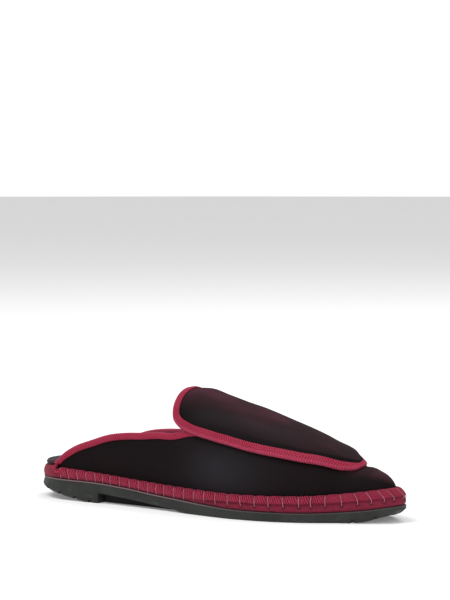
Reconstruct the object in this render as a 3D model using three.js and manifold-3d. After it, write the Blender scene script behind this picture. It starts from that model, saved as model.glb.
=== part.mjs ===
// Backless velvet slipper with an apron tongue and a low rubber sole: the right shoe.
// Millimetres. X runs from the heel to the toe, Y from the outer side to the inner side, Z up.
import * as THREE from 'three';
import { mergeVertices } from 'three/addons/utils/BufferGeometryUtils.js';
import Module from 'manifold-3d';

const wasm = await Module();
wasm.setup();

// Overall sizes of the last and the sole
const soleLength = 248;
const ballWidth = 76;
const heelWidth = 54;
const toeSwing = 9.4;
const instepHeight = 67.8;
const quarterHeight = 30.7;

// Rubber sole
const heelRubber = 13.1;
const forefootRubber = 6.4;
const waistRubber = 6.6;
const rubberToeSpring = 4.7;
const treadToeSpring = 8.5;
const toeSpringLength = 27;
const heelBlockLength = 54.6;
const heelRockerLength = 46;
const heelRockerRise = 8;
const rockerEase = 1.1;
const springEase = 2.4;
const waistLength = 55;
const breastLength = 1;
const waistRunOut = 14;
const waistWebSetIn = 6;
const waistWebLift = 0.4;
const grooveWidth = 1.8;
const grooveDepth = 1.4;
const groovePitch = 11.3;
const heelGrooveStart = 15;
const toeGrooveStart = 225.4;
const toeGrooveMargin = 10;
const stationGap = 0.4;

// Cloth-covered band, its rounded shoulder, and the footbed
const bandHeight = 9;
const bandSetIn = 0.9;
const heelBandSetIn = 0.2;
const heelBandRise = 0.9;
const shoulderWidth = 6;
const shoulderDrop = 4;
const insoleThickness = 2.6;
const insoleRound = 1.4;
const insoleBlend = { from: 0.45, to: 0.9 };
const heelInsoleSetIn = 1.4;

// Upper, apron and ribbons
const upperWall = 2;
const apronThickness = 1.2;
const ribbonThickness = 0.6;
const seamTapeThickness = 0.8;
const tapeWrap = 0.96;
const tapeBlend = { from: 0.6, to: 0.97 };
const tapeFirstStep = 0.008;
const apronBindingWidth = 4;
const collarBindingWidth = 3.5;
const collarFootShare = 0.95;
const foldRound = { past: 0.75, lift: 0.6 };
const clearance = 0.3;
const apronSeat = 0.5;
const quarterStart = 18;
const tapeStart = 24.5;
const quarterCrowding = 1.5;
const throatStart = 105;
const throatEnd = 146;
const noseLength = 10;
const apronStart = 101;
const apronLength = 128;
const apronHalfWidth = 34.4;
const apronCorner = 26;
const apronHollow = 3.4;
const apronHollowReach = 40;
const apronTip = 8;

// Half widths beside the centre line, as shares of the width there; swing as a share of toeSwing
const planRows = [
  { at: 0, swing: 0, outer: 0.463, inner: 0.463 },
  { at: 0.08, swing: 0, outer: 0.481, inner: 0.481 },
  { at: 0.16, swing: 0, outer: 0.496, inner: 0.5 },
  { at: 0.26, swing: 0, outer: 0.494, inner: 0.481 },
  { at: 0.36, swing: 0.03, outer: 0.467, inner: 0.425 },
  { at: 0.46, swing: 0.085, outer: 0.458, inner: 0.41 },
  { at: 0.56, swing: 0.21, outer: 0.48, inner: 0.444 },
  { at: 0.64, swing: 0.35, outer: 0.507, inner: 0.487 },
  { at: 0.72, swing: 0.53, outer: 0.495, inner: 0.497 },
  { at: 0.8, swing: 0.7, outer: 0.425, inner: 0.447 },
  { at: 0.88, swing: 0.86, outer: 0.289, inner: 0.336 },
  { at: 0.95, swing: 0.96, outer: 0.184, inner: 0.217 },
  { at: 1, swing: 1, outer: 0.132, inner: 0.158 },
];
const heelRound = 0.115;
const toeRound = 0.07;
const waistBlend = { from: 0.2, to: 0.6 };
const toeCentre = 0.827;

// Rubber's top: shares of the heel's extra rubber and of the toe spring.
// Band, shoulder width, shoulder drop and the tape's skirt: shares of their named sizes.
const sideRows = [
  { at: 0, heel: 1, toe: 0, band: 0.76, width: 0.43, drop: 0.5, skirt: 0.32 },
  { at: 0.12, heel: 0.97, toe: 0, band: 0.73, width: 0.48, drop: 0.5, skirt: 0.32 },
  { at: 0.22, heel: 0.93, toe: 0, band: 0.61, width: 0.57, drop: 0.52, skirt: 0.2 },
  { at: 0.3, heel: 0.76, toe: 0, band: 0.58, width: 0.67, drop: 0.58, skirt: 0.14 },
  { at: 0.4, heel: 0.43, toe: 0, band: 0.67, width: 0.73, drop: 0.7, skirt: 0.18 },
  { at: 0.5, heel: 0.2, toe: 0, band: 0.745, width: 0.8, drop: 0.8, skirt: 0.16 },
  { at: 0.62, heel: 0.045, toe: 0, band: 0.82, width: 0.84, drop: 0.85, skirt: 0.05 },
  { at: 0.74, heel: 0, toe: 0, band: 0.9, width: 0.88, drop: 0.9, skirt: 0.035 },
  { at: 0.84, heel: 0, toe: 0.06, band: 0.98, width: 0.92, drop: 0.95, skirt: 0.035 },
  { at: 0.92, heel: 0, toe: 0.36, band: 1.02, width: 0.96, drop: 1, skirt: 0.035 },
  { at: 1, heel: 0, toe: 1, band: 1, width: 1, drop: 1, skirt: 0.035 },
];

// Sections of the last: crest height as a share of instepHeight, the ridge's shift toward the
// inner side as a share of ballWidth, and the fullness (the exponent of the section's curve).
const lastRows = [
  { at: 0, crest: 1.003, ridge: 0.036, full: 2.6 },
  { at: 0.24, crest: 1.003, ridge: 0.036, full: 2.6 },
  { at: 0.42, crest: 1.004, ridge: 0.036, full: 2.26 },
  { at: 0.47, crest: 1.005, ridge: 0.035, full: 2.25 },
  { at: 0.516, crest: 0.96, ridge: 0.032, full: 2.25 },
  { at: 0.565, crest: 0.905, ridge: 0.03, full: 2.23 },
  { at: 0.61, crest: 0.861, ridge: 0.024, full: 2.2 },
  { at: 0.677, crest: 0.776, ridge: 0.015, full: 2.15 },
  { at: 0.746, crest: 0.683, ridge: 0.01, full: 2.1 },
  { at: 0.806, crest: 0.596, ridge: 0, full: 2.07 },
  { at: 0.843, crest: 0.544, ridge: -0.004, full: 2.05 },
  { at: 0.88, crest: 0.484, ridge: -0.008, full: 2.05 },
  { at: 0.905, crest: 0.446, ridge: -0.008, full: 2.05 },
  { at: 0.93, crest: 0.437, ridge: -0.006, full: 2.05 },
  { at: 0.957, crest: 0.413, ridge: -0.004, full: 2 },
  { at: 1, crest: 0.37, ridge: 0, full: 2 },
];

// Topline: height of each quarter's rim over its foot, as a share of quarterHeight, from the
// quarter's back end (at 0) to the start of the throat (at 1)
const toplineRows = [
  { at: 0, outer: 0.08, inner: 0.08 },
  { at: 0.035, outer: 0.147, inner: 0.145 },
  { at: 0.08, outer: 0.25, inner: 0.24 },
  { at: 0.138, outer: 0.36, inner: 0.34 },
  { at: 0.195, outer: 0.455, inner: 0.43 },
  { at: 0.345, outer: 0.635, inner: 0.6 },
  { at: 0.483, outer: 0.785, inner: 0.74 },
  { at: 0.632, outer: 0.88, inner: 0.83 },
  { at: 0.782, outer: 0.935, inner: 0.885 },
  { at: 0.92, outer: 0.99, inner: 0.95 },
  { at: 1, outer: 1, inner: 0.975 },
];

// Apron: half width over the instep as a share of apronHalfWidth, along its own length
const apronRows = [
  { at: 0, half: 1 },
  { at: 0.297, half: 1 },
  { at: 0.383, half: 1 },
  { at: 0.465, half: 0.984 },
  { at: 0.541, half: 0.937 },
  { at: 0.617, half: 0.876 },
  { at: 0.676, half: 0.812 },
  { at: 0.746, half: 0.712 },
  { at: 0.808, half: 0.598 },
  { at: 0.879, half: 0.45 },
  { at: 0.914, half: 0.372 },
  { at: 0.949, half: 0.31 },
  { at: 0.984, half: 0.255 },
  { at: 1, half: 0.235 },
];
const apronCornerFullness = 2.6;
const straightEnd = 0.8;

// Smooth curve through one column of a table, level where the column turns
function column(rows, name) {
  const chord = (i) => (rows[i + 1][name] - rows[i][name]) / (rows[i + 1].at - rows[i].at);
  const slopes = rows.map((row, i) => {
    if (i === 0) return chord(0);
    if (i === rows.length - 1) return chord(i - 1);
    const before = chord(i - 1);
    const after = chord(i);
    if (before * after <= 0) return 0;
    const span = rows[i + 1].at - rows[i - 1].at;
    return ((rows[i + 1].at - row.at) * before + (row.at - rows[i - 1].at) * after) / span;
  });
  return (at) => {
    const last = rows.length - 2;
    let i = rows.findIndex((row, k) => k > 0 && at <= row.at) - 1;
    if (i < 0) i = at < rows[0].at ? 0 : last;
    const step = rows[i + 1].at - rows[i].at;
    const t = THREE.MathUtils.clamp((at - rows[i].at) / step, 0, 1);
    const rise = rows[i + 1][name] - rows[i][name];
    const ease = t * t * (3 - 2 * t);
    const bend = t * (1 - t) * ((1 - t) * slopes[i] - t * slopes[i + 1]) * step;
    return rows[i][name] + rise * ease + bend;
  };
}

const swing = column(planRows, 'swing');
const planShare = { outer: column(planRows, 'outer'), inner: column(planRows, 'inner') };
const heelShare = column(sideRows, 'heel');
const toeShare = column(sideRows, 'toe');
const bandShare = column(sideRows, 'band');
const widthShare = column(sideRows, 'width');
const dropShare = column(sideRows, 'drop');
const skirtShare = column(sideRows, 'skirt');
const crestShare = column(lastRows, 'crest');
const ridgeShare = column(lastRows, 'ridge');
const fullness = column(lastRows, 'full');
const toplineShare = { outer: column(toplineRows, 'outer'), inner: column(toplineRows, 'inner') };
const apronShare = column(apronRows, 'half');

const sides = { outer: -1, inner: 1 };
const smooth = THREE.MathUtils.smoothstep;
const quarterTurn = Math.PI / 2;

// Steps from 0 to 1, both ends included
function steps(count) {
  return Array.from({ length: count + 1 }, (_, i) => i / count);
}

// Shares of the length from heel to toe, evenly spaced along the outline with its round ends
function outlineStations(count) {
  const heelRun = heelRound * quarterTurn;
  const straight = 1 - heelRound - toeRound;
  const total = heelRun + straight + toeRound * quarterTurn;
  return steps(count).map((step) => {
    const run = step * total;
    if (run < heelRun) return heelRound * (1 - Math.cos(run / heelRound));
    if (run < heelRun + straight) return run - heelRun + heelRound;
    return 1 - toeRound + toeRound * Math.sin((run - heelRun - straight) / toeRound);
  });
}

// Outline of the sole
function centreLine(share) {
  return toeSwing * swing(share);
}

function halfWidth(share, side) {
  const width = THREE.MathUtils.lerp(heelWidth, ballWidth, smooth(share, waistBlend.from, waistBlend.to));
  const back = Math.max(0, 1 - share / heelRound);
  const front = Math.max(0, (share - 1 + toeRound) / toeRound);
  const round = Math.sqrt(Math.max(0, 1 - back * back)) * Math.sqrt(Math.max(0, 1 - front * front));
  return width * planShare[side](share) * round;
}

// A point on the outline, set in from the edge toward the centre line
function edgePoint(share, side, setIn, height) {
  const edge = new THREE.Vector2(soleLength * share, centreLine(share) + sides[side] * halfWidth(share, side));
  const centreShare = THREE.MathUtils.clamp(share, heelRound, toeCentre);
  const centre = new THREE.Vector2(soleLength * centreShare, centreLine(centreShare));
  const inward = centre.sub(edge).normalize();
  edge.addScaledVector(inward, setIn);
  return new THREE.Vector3(edge.x, edge.y, height);
}

// Heights over the floor
function rubberTop(share) {
  const heel = (heelRubber - forefootRubber) * heelShare(share);
  return forefootRubber + heel + rubberToeSpring * toeShare(share);
}

const waistEnd = heelBlockLength + waistLength;

function underside(share) {
  const x = share * soleLength;
  const rocker = heelRockerRise * Math.max(0, 1 - x / heelRockerLength) ** rockerEase;
  const spring = treadToeSpring * Math.max(0, 1 - (soleLength - x) / toeSpringLength) ** springEase;
  const open = smooth(x, heelBlockLength, heelBlockLength + breastLength)
    * (1 - smooth(x, waistEnd, waistEnd + waistRunOut));
  return rocker + spring + open * (rubberTop(share) - waistRubber);
}

function bandTop(share) {
  return rubberTop(share) + bandHeight * bandShare(share);
}

const seamTapeLift = clearance + seamTapeThickness;
const quarterShare = quarterStart / soleLength;
const tapeShare = tapeStart / soleLength;

// How far the plain heel of the band has changed into the taped part, from 0 to 1
function tapedPart(share) {
  return smooth(share, tapeShare * tapeBlend.from, tapeShare * tapeBlend.to);
}

function midsoleTop(share) {
  return bandTop(share) - seamTapeLift + heelBandRise * (1 - tapedPart(share));
}

function sideSetIn(share) {
  return THREE.MathUtils.lerp(heelBandSetIn, bandSetIn, tapedPart(share));
}

function shoulder(share) {
  return shoulderWidth * widthShare(share);
}

// The band's rounded shoulder. Turn 0 is its upright side, turn 1 its level top.
function shoulderPoint(share, side, turn, grow) {
  const reach = shoulder(share) - sideSetIn(share);
  const drop = shoulderDrop * dropShare(share);
  const angle = turn * quarterTurn;
  const setIn = shoulder(share) - (reach + grow) * Math.cos(angle);
  const height = midsoleTop(share) - drop + (drop + grow) * Math.sin(angle);
  return edgePoint(share, side, setIn, height);
}

// The skin of the last. Angle 0 is its foot on the band, a quarter turn is its crest.
const noseShare = noseLength / soleLength;

function skinPoint(share, side, angle, lift) {
  const foot = midsoleTop(share) + clearance;
  const setIn = shoulder(share) + clearance - lift;
  const base = edgePoint(share, side, setIn, foot);
  const across = edgePoint(share, side === 'outer' ? 'inner' : 'outer', setIn, foot);
  const nose = Math.max(0, (share - 1 + noseShare) / noseShare);
  const closing = Math.sqrt(Math.max(0, 1 - nose * nose));
  const crest = (instepHeight * crestShare(share) + lift - foot) * closing;
  const spread = Math.max(0, Math.cos(angle)) ** (2 / fullness(share));
  const climb = Math.max(0, Math.sin(angle)) ** (2 / fullness(share));
  const middle = base.clone().add(across).multiplyScalar(0.5);
  const ridge = middle.y + ballWidth * ridgeShare(share) * closing;
  return new THREE.Vector3(
    THREE.MathUtils.lerp(middle.x, base.x, spread),
    THREE.MathUtils.lerp(ridge, base.y, spread),
    foot + crest * climb,
  );
}

// Running distance from the crest down to the foot, for each angle of a section
const sectionSteps = 60;
const girths = new Map();

function girth(share, side) {
  const key = `${side} ${share}`;
  if (!girths.has(key)) {
    const points = steps(sectionSteps).map((step) => skinPoint(share, side, (1 - step) * quarterTurn, 0));
    const runs = [0];
    for (let i = 1; i < points.length; i += 1) runs.push(runs[i - 1] + points[i].distanceTo(points[i - 1]));
    girths.set(key, runs);
  }
  return girths.get(key);
}

function girthTotal(share, side) {
  return girth(share, side)[sectionSteps];
}

// A point on the skin: x along the shoe, so far across from the crest (outer side negative)
function onSkin(x, across, lift) {
  const share = x / soleLength;
  const side = across < 0 ? 'outer' : 'inner';
  const runs = girth(share, side);
  const run = Math.min(Math.abs(across), runs[sectionSteps]);
  let i = 1;
  while (i < sectionSteps && runs[i] < run) i += 1;
  const length = runs[i] - runs[i - 1];
  const part = length > 0 ? (run - runs[i - 1]) / length : 0;
  const angle = (1 - (i - 1 + part) / sectionSteps) * quarterTurn;
  return skinPoint(share, side, angle, lift);
}

// Distance from the crest down to the upper's rim: topline, then the throat under the apron
function rimRun(x, side) {
  if (x >= throatEnd) return 0;
  const share = Math.min(x, throatStart) / soleLength;
  const along = (Math.min(x, throatStart) - quarterStart) / (throatStart - quarterStart);
  const height = quarterHeight * toplineShare[side](along);
  const crest = instepHeight * crestShare(share) - midsoleTop(share) - clearance;
  const angle = Math.asin((height / crest) ** (fullness(share) / 2));
  const runs = girth(share, side);
  const place = (1 - angle / quarterTurn) * sectionSteps;
  const whole = Math.min(Math.floor(place), sectionSteps - 1);
  const run = THREE.MathUtils.lerp(runs[whole], runs[whole + 1], place - whole);
  const throat = Math.max(0, (x - throatStart) / (throatEnd - throatStart));
  return run * Math.sqrt(Math.max(0, 1 - throat * throat));
}

// Points closer than this are one point
const weld = 1e-3;
const placesPerMillimetre = 500;

// One closed mesh from points and triangles, facing outward
function closedMesh(name, points, triangles, material) {
  const loose = new THREE.BufferGeometry().setFromPoints(points);
  loose.setIndex(triangles.flat());
  const geometry = mergeVertices(loose, weld);
  const index = geometry.index.array;
  const position = geometry.attributes.position;
  const kept = [];
  let volume = 0;
  const [a, b, c] = [new THREE.Vector3(), new THREE.Vector3(), new THREE.Vector3()];
  for (let i = 0; i < index.length; i += 3) {
    const [p, q, r] = [index[i], index[i + 1], index[i + 2]];
    if (p === q || q === r || r === p) continue;
    kept.push(p, q, r);
    a.fromBufferAttribute(position, p);
    b.fromBufferAttribute(position, q);
    c.fromBufferAttribute(position, r);
    volume += a.dot(b.cross(c));
  }
  geometry.setIndex(volume < 0 ? kept.reverse() : kept);
  const mesh = new THREE.Mesh(geometry, material);
  mesh.name = name;
  return mesh;
}

// Triangles of a grid of points, row by row
function gridTriangles(rows, columns) {
  const triangles = [];
  for (let row = 0; row < rows - 1; row += 1) {
    for (let col = 0; col < columns - 1; col += 1) {
      const corner = row * columns + col;
      const next = corner + columns;
      triangles.push([corner, next, next + 1], [corner, next + 1, corner + 1]);
    }
  }
  return triangles;
}

// A sheet of real thickness: a face, the same face on its other side, and a rim round both
function sheet(name, face, back, triangles, material) {
  const places = new Map();
  const same = face.map((point, i) => {
    const key = point.toArray().map((value) => Math.round(value * placesPerMillimetre)).join();
    if (!places.has(key)) places.set(key, i);
    return places.get(key);
  });
  const front = triangles.map((triangle) => triangle.map((i) => same[i]));
  const whole = front.filter(([p, q, r]) => p !== q && q !== r && r !== p);
  const edges = new Set(whole.flatMap(([p, q, r]) => [`${p},${q}`, `${q},${r}`, `${r},${p}`]));
  const all = [...whole];
  const behind = face.length;
  for (const [p, q, r] of whole) all.push([r + behind, q + behind, p + behind]);
  for (const edge of edges) {
    const [from, to] = edge.split(',').map(Number);
    if (edges.has(`${to},${from}`)) continue;
    all.push([to, from, from + behind], [to, from + behind, to + behind]);
  }
  return closedMesh(name, [...face, ...back], all, material);
}

// A solid stacked from level rings, each an outer and an inner side from heel to toe
function stack(name, rings, material) {
  const points = [];
  const triangles = [];
  const count = rings[0].outer.length;
  for (const ring of rings) points.push(...ring.outer, ...ring.inner);
  rings.forEach((ring, level) => {
    const low = level * 2 * count;
    for (let i = 0; i < count - 1; i += 1) {
      if (level < rings.length - 1) {
        for (const [start, turn] of [[low, 0], [low + count, 1]]) {
          const [p, q] = turn ? [start + i + 1, start + i] : [start + i, start + i + 1];
          triangles.push([p, q, q + 2 * count], [p, q + 2 * count, p + 2 * count]);
        }
      }
      if (level === 0) {
        const [p, q] = [low + i, low + count + i];
        triangles.push([p, q, q + 1], [p, q + 1, p + 1]);
      }
      if (level === rings.length - 1) {
        const [p, q] = [low + i, low + count + i];
        triangles.push([p, q + 1, q], [p, p + 1, q + 1]);
      }
    }
  });
  return closedMesh(name, points, triangles, material);
}

function ring(stations, setIn, height) {
  const side = (name) => stations.map((share) => edgePoint(share, name, setIn(share), height(share)));
  return { outer: side('outer'), inner: side('inner') };
}

// Joining and cutting
function toManifold(geometry) {
  const bare = geometry.clone();
  bare.deleteAttribute('normal');
  bare.deleteAttribute('uv');
  const merged = mergeVertices(bare, 1e-4);
  const vertProperties = new Float32Array(merged.attributes.position.array);
  const triVerts = new Uint32Array(merged.index.array);
  return new wasm.Manifold(new wasm.Mesh({ numProp: 3, vertProperties, triVerts }));
}

function fromManifold(solid) {
  const { vertProperties, triVerts } = solid.getMesh();
  const geometry = new THREE.BufferGeometry();
  geometry.setAttribute('position', new THREE.Float32BufferAttribute(vertProperties, 3));
  geometry.setIndex(Array.from(triVerts));
  return geometry;
}

function finish(color, roughness) {
  return new THREE.MeshStandardMaterial({ color, roughness, metalness: 0 });
}

const rubber = finish(0x2f3230, 0.7);
const velvet = finish(0x1d1416, 0.95);
const ribbon = finish(0xa02445, 0.8);
const lining = finish(0x4b2f36, 0.85);

const stationCount = 47;
const stations = outlineStations(stationCount);

// Outsole: heel block, waist with a web set in from its sides, forefoot, heel and toe grooves
function makeOutsole() {
  const breast = steps(3).map((step) => heelBlockLength + step * breastLength);
  const runOut = steps(4).map((step) => waistEnd + step * waistRunOut);
  const corners = [...breast, ...runOut].map((x) => x / soleLength);
  const gap = stationGap / soleLength;
  const plain = stations.filter((share) => corners.every((corner) => Math.abs(share - corner) > gap));
  const shares = [...plain, ...corners].sort((p, q) => p - q);
  const flush = () => 0;
  const body = stack('outsole', [ring(shares, flush, underside), ring(shares, flush, rubberTop)], rubber);
  const webSetIn = () => waistWebSetIn;
  const webTop = (share) => rubberTop(share) - waistRubber / 2;
  const core = stack('core', [ring(shares, webSetIn, () => waistWebLift), ring(shares, webSetIn, webTop)], rubber);
  const webLength = waistLength + waistRunOut + breastLength;
  const webRoom = new THREE.BoxGeometry(webLength, ballWidth * 2, heelRubber * 2);
  webRoom.translate(heelBlockLength - breastLength + webLength / 2, 0, heelRubber);
  const web = toManifold(core.geometry).intersect(toManifold(webRoom));
  let solid = toManifold(body.geometry).add(web);
  const grooves = [];
  for (let x = heelGrooveStart; x < heelBlockLength - grooveWidth; x += groovePitch) grooves.push(x);
  for (let x = toeGrooveStart; x < soleLength - toeGrooveMargin; x += groovePitch) grooves.push(x);
  for (const x of grooves) {
    const slot = new THREE.BoxGeometry(grooveWidth, ballWidth * 2, grooveDepth * 2);
    slot.translate(x, 0, underside(x / soleLength));
    solid = solid.subtract(toManifold(slot));
  }
  body.geometry = fromManifold(solid);
  return body;
}

// Midsole: the cloth-covered band with its rounded shoulder
function makeMidsole() {
  const low = (share) => rubberTop(share) + clearance;
  const side = (name, turn) => stations.map((share) => shoulderPoint(share, name, turn, 0));
  const rings = [ring(stations, sideSetIn, low)];
  for (const turn of steps(4)) rings.push({ outer: side('outer', turn), inner: side('inner', turn) });
  return stack('midsole', rings, ribbon);
}

// Insole: a padded footbed inside the walls, nearer the edge round the open heel
const liningRoom = upperWall + 2 * clearance + ribbonThickness + clearance;

// Levels of the footbed's rounded edge, as shares of insoleRound and of insoleThickness
const insoleLevels = [
  { fall: 0.4, rise: 0 },
  { fall: 0, rise: 0.35 },
  { fall: 0.15, rise: 0.75 },
  { fall: 1, rise: 1 },
];

function insoleSetIn(share) {
  const inside = shoulder(share) + clearance + liningRoom;
  const changed = smooth(share, quarterShare * insoleBlend.from, quarterShare * insoleBlend.to);
  return THREE.MathUtils.lerp(heelInsoleSetIn, inside, changed);
}

function makeInsole() {
  const foot = (share) => midsoleTop(share) + clearance;
  const level = ({ fall, rise }) => ring(
    stations,
    (share) => insoleSetIn(share) + insoleRound * fall,
    (share) => foot(share) + insoleThickness * rise,
  );
  return stack('insole', insoleLevels.map(level), lining);
}

// Stations of the upper: quarters, throat, vamp and nose
const throatStep = (step) => throatStart + (throatEnd - throatStart) * Math.sin(step * quarterTurn);
const quarterStations = steps(13).map((step) => quarterStart + (throatStart - quarterStart) * step ** quarterCrowding);
const throatStations = steps(8).slice(1).map(throatStep);
const vampEnd = soleLength * (1 - toeRound);
const vampStations = steps(11).slice(1).map((step) => throatEnd + (vampEnd - throatEnd) * step);
const noseStations = steps(7).slice(1).map((step) => vampEnd + (soleLength - vampEnd) * Math.sin(step * quarterTurn));
const upperStations = [...quarterStations, ...throatStations, ...vampStations, ...noseStations];

function makeUpper() {
  const cells = 9;
  const face = [];
  const back = [];
  const triangles = [];
  for (const side of ['outer', 'inner']) {
    const start = face.length;
    for (const x of upperStations) {
      const rim = rimRun(x, side);
      const total = girthTotal(x / soleLength, side);
      for (const step of steps(cells)) {
        const across = sides[side] * Math.max(1e-6, THREE.MathUtils.lerp(rim, total, step));
        face.push(onSkin(x, across, 0));
        back.push(onSkin(x, across, -upperWall));
      }
    }
    const turned = gridTriangles(upperStations.length, cells + 1).map(([p, q, r]) => [p + start, q + start, r + start]);
    triangles.push(...(side === 'outer' ? turned : turned.map(([p, q, r]) => [r, q, p])));
  }
  return sheet('upper', face, back, triangles, velvet);
}

// Ribbon folded over an edge. The path runs along the edge, each stop with its place on the
// skin, the direction into the sheet and the width of the leaf there.
function foldedRibbon(name, path, edgeLift, sheetThickness, material) {
  const outside = clearance + ribbonThickness;
  const profile = (grow) => [
    { into: 1, past: 0, lift: edgeLift + grow },
    { into: 0.5, past: 0, lift: edgeLift + grow },
    { into: 0, past: 0, lift: edgeLift + grow },
    { into: 0, past: foldRound.past * grow, lift: edgeLift + foldRound.lift * grow },
    { into: 0, past: grow, lift: edgeLift - sheetThickness / 2 },
    { into: 0, past: foldRound.past * grow, lift: edgeLift - sheetThickness - foldRound.lift * grow },
    { into: 0, past: 0, lift: edgeLift - sheetThickness - grow },
    { into: 0.5, past: 0, lift: edgeLift - sheetThickness - grow },
    { into: 1, past: 0, lift: edgeLift - sheetThickness - grow },
  ];
  const place = (stop, { into, past, lift }) => {
    const inset = into * stop.leaf - past;
    return onSkin(stop.x + stop.inward.x * inset, stop.across + stop.inward.y * inset, lift);
  };
  const face = path.flatMap((stop) => profile(outside).map((spot) => place(stop, spot)));
  const back = path.flatMap((stop) => profile(clearance).map((spot) => place(stop, spot)));
  return sheet(name, face, back, gridTriangles(path.length, profile(0).length), material);
}

// Direction into the sheet at each stop of an edge that runs with the sheet on its given hand
function inwardDirections(edge, hand, closed) {
  return edge.map((stop, i) => {
    const before = edge[i > 0 ? i - 1 : closed ? edge.length - 2 : 0];
    const after = edge[i < edge.length - 1 ? i + 1 : closed ? 1 : i];
    const along = new THREE.Vector2(after.x - before.x, after.across - before.across).normalize();
    return new THREE.Vector2(-along.y * hand, along.x * hand);
  });
}

// Apron outline, from the middle of its free end round to its tip
function apronHalf(x) {
  const along = (x - apronStart) / apronLength;
  const back = Math.max(0, 1 - (x - apronStart) / apronCorner);
  const front = Math.max(0, 1 - (apronStart + apronLength - x) / apronTip);
  const corner = Math.max(0, 1 - back ** apronCornerFullness) ** (1 / apronCornerFullness);
  return apronHalfWidth * apronShare(along) * corner * Math.sqrt(Math.max(0, 1 - front * front));
}

const apronEnd = apronStart + apronLength;

// The free end is hollowed toward the toe in its middle
function apronSpot(x, across) {
  const beside = Math.min(1, Math.abs(across) / (apronHalfWidth * straightEnd));
  const fade = 1 - smooth(x, apronStart, apronStart + apronHollowReach);
  return { x: x + apronHollow * (1 - beside * beside) * fade, across };
}

const cornerX = (width) => apronCorner * (1 - (1 - width ** apronCornerFullness) ** (1 / apronCornerFullness));
const endStations = steps(8).map((step) => apronStart + cornerX(step * straightEnd));
const cornerEnd = apronStart + apronCorner;
const cornerStations = steps(4).slice(1).map((step) => THREE.MathUtils.lerp(endStations.at(-1), cornerEnd, step));
const apronMiddle = steps(8).slice(1, -1).map((step) => THREE.MathUtils.lerp(cornerEnd, apronEnd - apronTip, step));
const tipStations = steps(5).map((step) => apronEnd - apronTip + apronTip * Math.sin(step * quarterTurn));
const apronStations = [...endStations, ...cornerStations, ...apronMiddle, ...tipStations];
const apronLift = apronSeat + ribbonThickness + clearance + apronThickness;

function makeApron() {
  const cells = 14;
  const face = [];
  const back = [];
  for (const x of apronStations) {
    const half = apronHalf(x);
    for (const step of steps(cells)) {
      const spot = apronSpot(x, half * (2 * step - 1));
      face.push(onSkin(spot.x, spot.across, apronLift));
      back.push(onSkin(spot.x, spot.across, apronLift - apronThickness));
    }
  }
  return sheet('apron', face, back, gridTriangles(apronStations.length, cells + 1), velvet);
}

function makeApronBinding() {
  const outer = apronStations.map((x) => apronSpot(x, -apronHalf(x)));
  const inner = apronStations.map((x) => apronSpot(x, apronHalf(x))).reverse();
  const edge = [...outer, ...inner.slice(1)];
  const inward = inwardDirections(edge, 1, true);
  const path = edge.map((stop, i) => ({ ...stop, inward: inward[i], leaf: apronBindingWidth }));
  return foldedRibbon('apron_binding', path, apronLift, apronThickness, ribbon);
}

// Ribbon folded over a quarter's topline, from its back end to the apron's edge
function makeCollarBinding(side) {
  const reach = clearance + ribbonThickness + clearance;
  const covered = (x) => apronHalf(Math.max(x, apronStart)) + reach;
  const shown = [...quarterStations, ...throatStations].filter((x) => x < apronStart || rimRun(x, side) > covered(x));
  const edge = shown.map((x) => ({ x, across: sides[side] * rimRun(x, side) }));
  const inward = inwardDirections(edge, sides[side], false);
  const footRoom = seamTapeThickness + 2 * clearance;
  const path = edge.map((stop, i) => {
    const room = girthTotal(stop.x / soleLength, side) - Math.abs(stop.across) - footRoom;
    return { ...stop, inward: inward[i], leaf: Math.min(collarBindingWidth, room * collarFootShare) };
  });
  return foldedRibbon(`collar_binding_${side}`, path, 0, upperWall, ribbon);
}

// Seam tape: laid over the band's shoulder from one side of the heel round the toe to the other
function makeSeamTape() {
  const shares = [tapeShare, ...stations.filter((share) => share > tapeShare + tapeFirstStep)];
  const path = [
    ...shares.map((share) => ({ share, side: 'outer' })),
    ...shares.map((share) => ({ share, side: 'inner' })).reverse().slice(1),
  ];
  const profile = ({ share, side }, grow) => {
    const turns = steps(4).map((turn) => shoulderPoint(share, side, turn * tapeWrap, grow));
    const low = turns[0].clone();
    low.z -= bandHeight * skirtShare(share);
    return [low, ...turns];
  };
  const face = path.flatMap((stop) => profile(stop, seamTapeLift));
  const back = path.flatMap((stop) => profile(stop, clearance));
  return sheet('seam_tape', face, back, gridTriangles(path.length, 6), ribbon);
}

const slipper = new THREE.Group();
slipper.add(makeOutsole(), makeMidsole(), makeInsole(), makeUpper(), makeSeamTape());
slipper.add(makeApron(), makeApronBinding());
slipper.add(makeCollarBinding('outer'), makeCollarBinding('inner'));

// The origin is on the floor under the middle of the shoe
const bounds = new THREE.Box3().setFromObject(slipper);
const middle = bounds.getCenter(new THREE.Vector3());
slipper.position.set(-middle.x, -middle.y, -bounds.min.z);

export default slipper;
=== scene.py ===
"""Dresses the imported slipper: velvet upper and apron, ribbon bindings, stitched band, rubber sole.

Shoe sizes are millimetres. X runs from the heel's end to the toe, Y from the outer side to the
inner side beside the heel's centre line, and Z up from the floor. Meshes are metres in the
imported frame.
"""
import logging
import math
from collections.abc import Mapping, Sequence
from dataclasses import dataclass, field
from enum import Enum
from typing import Any

import bmesh
import bpy
import numpy as np
from mathutils import Matrix, Vector


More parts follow.
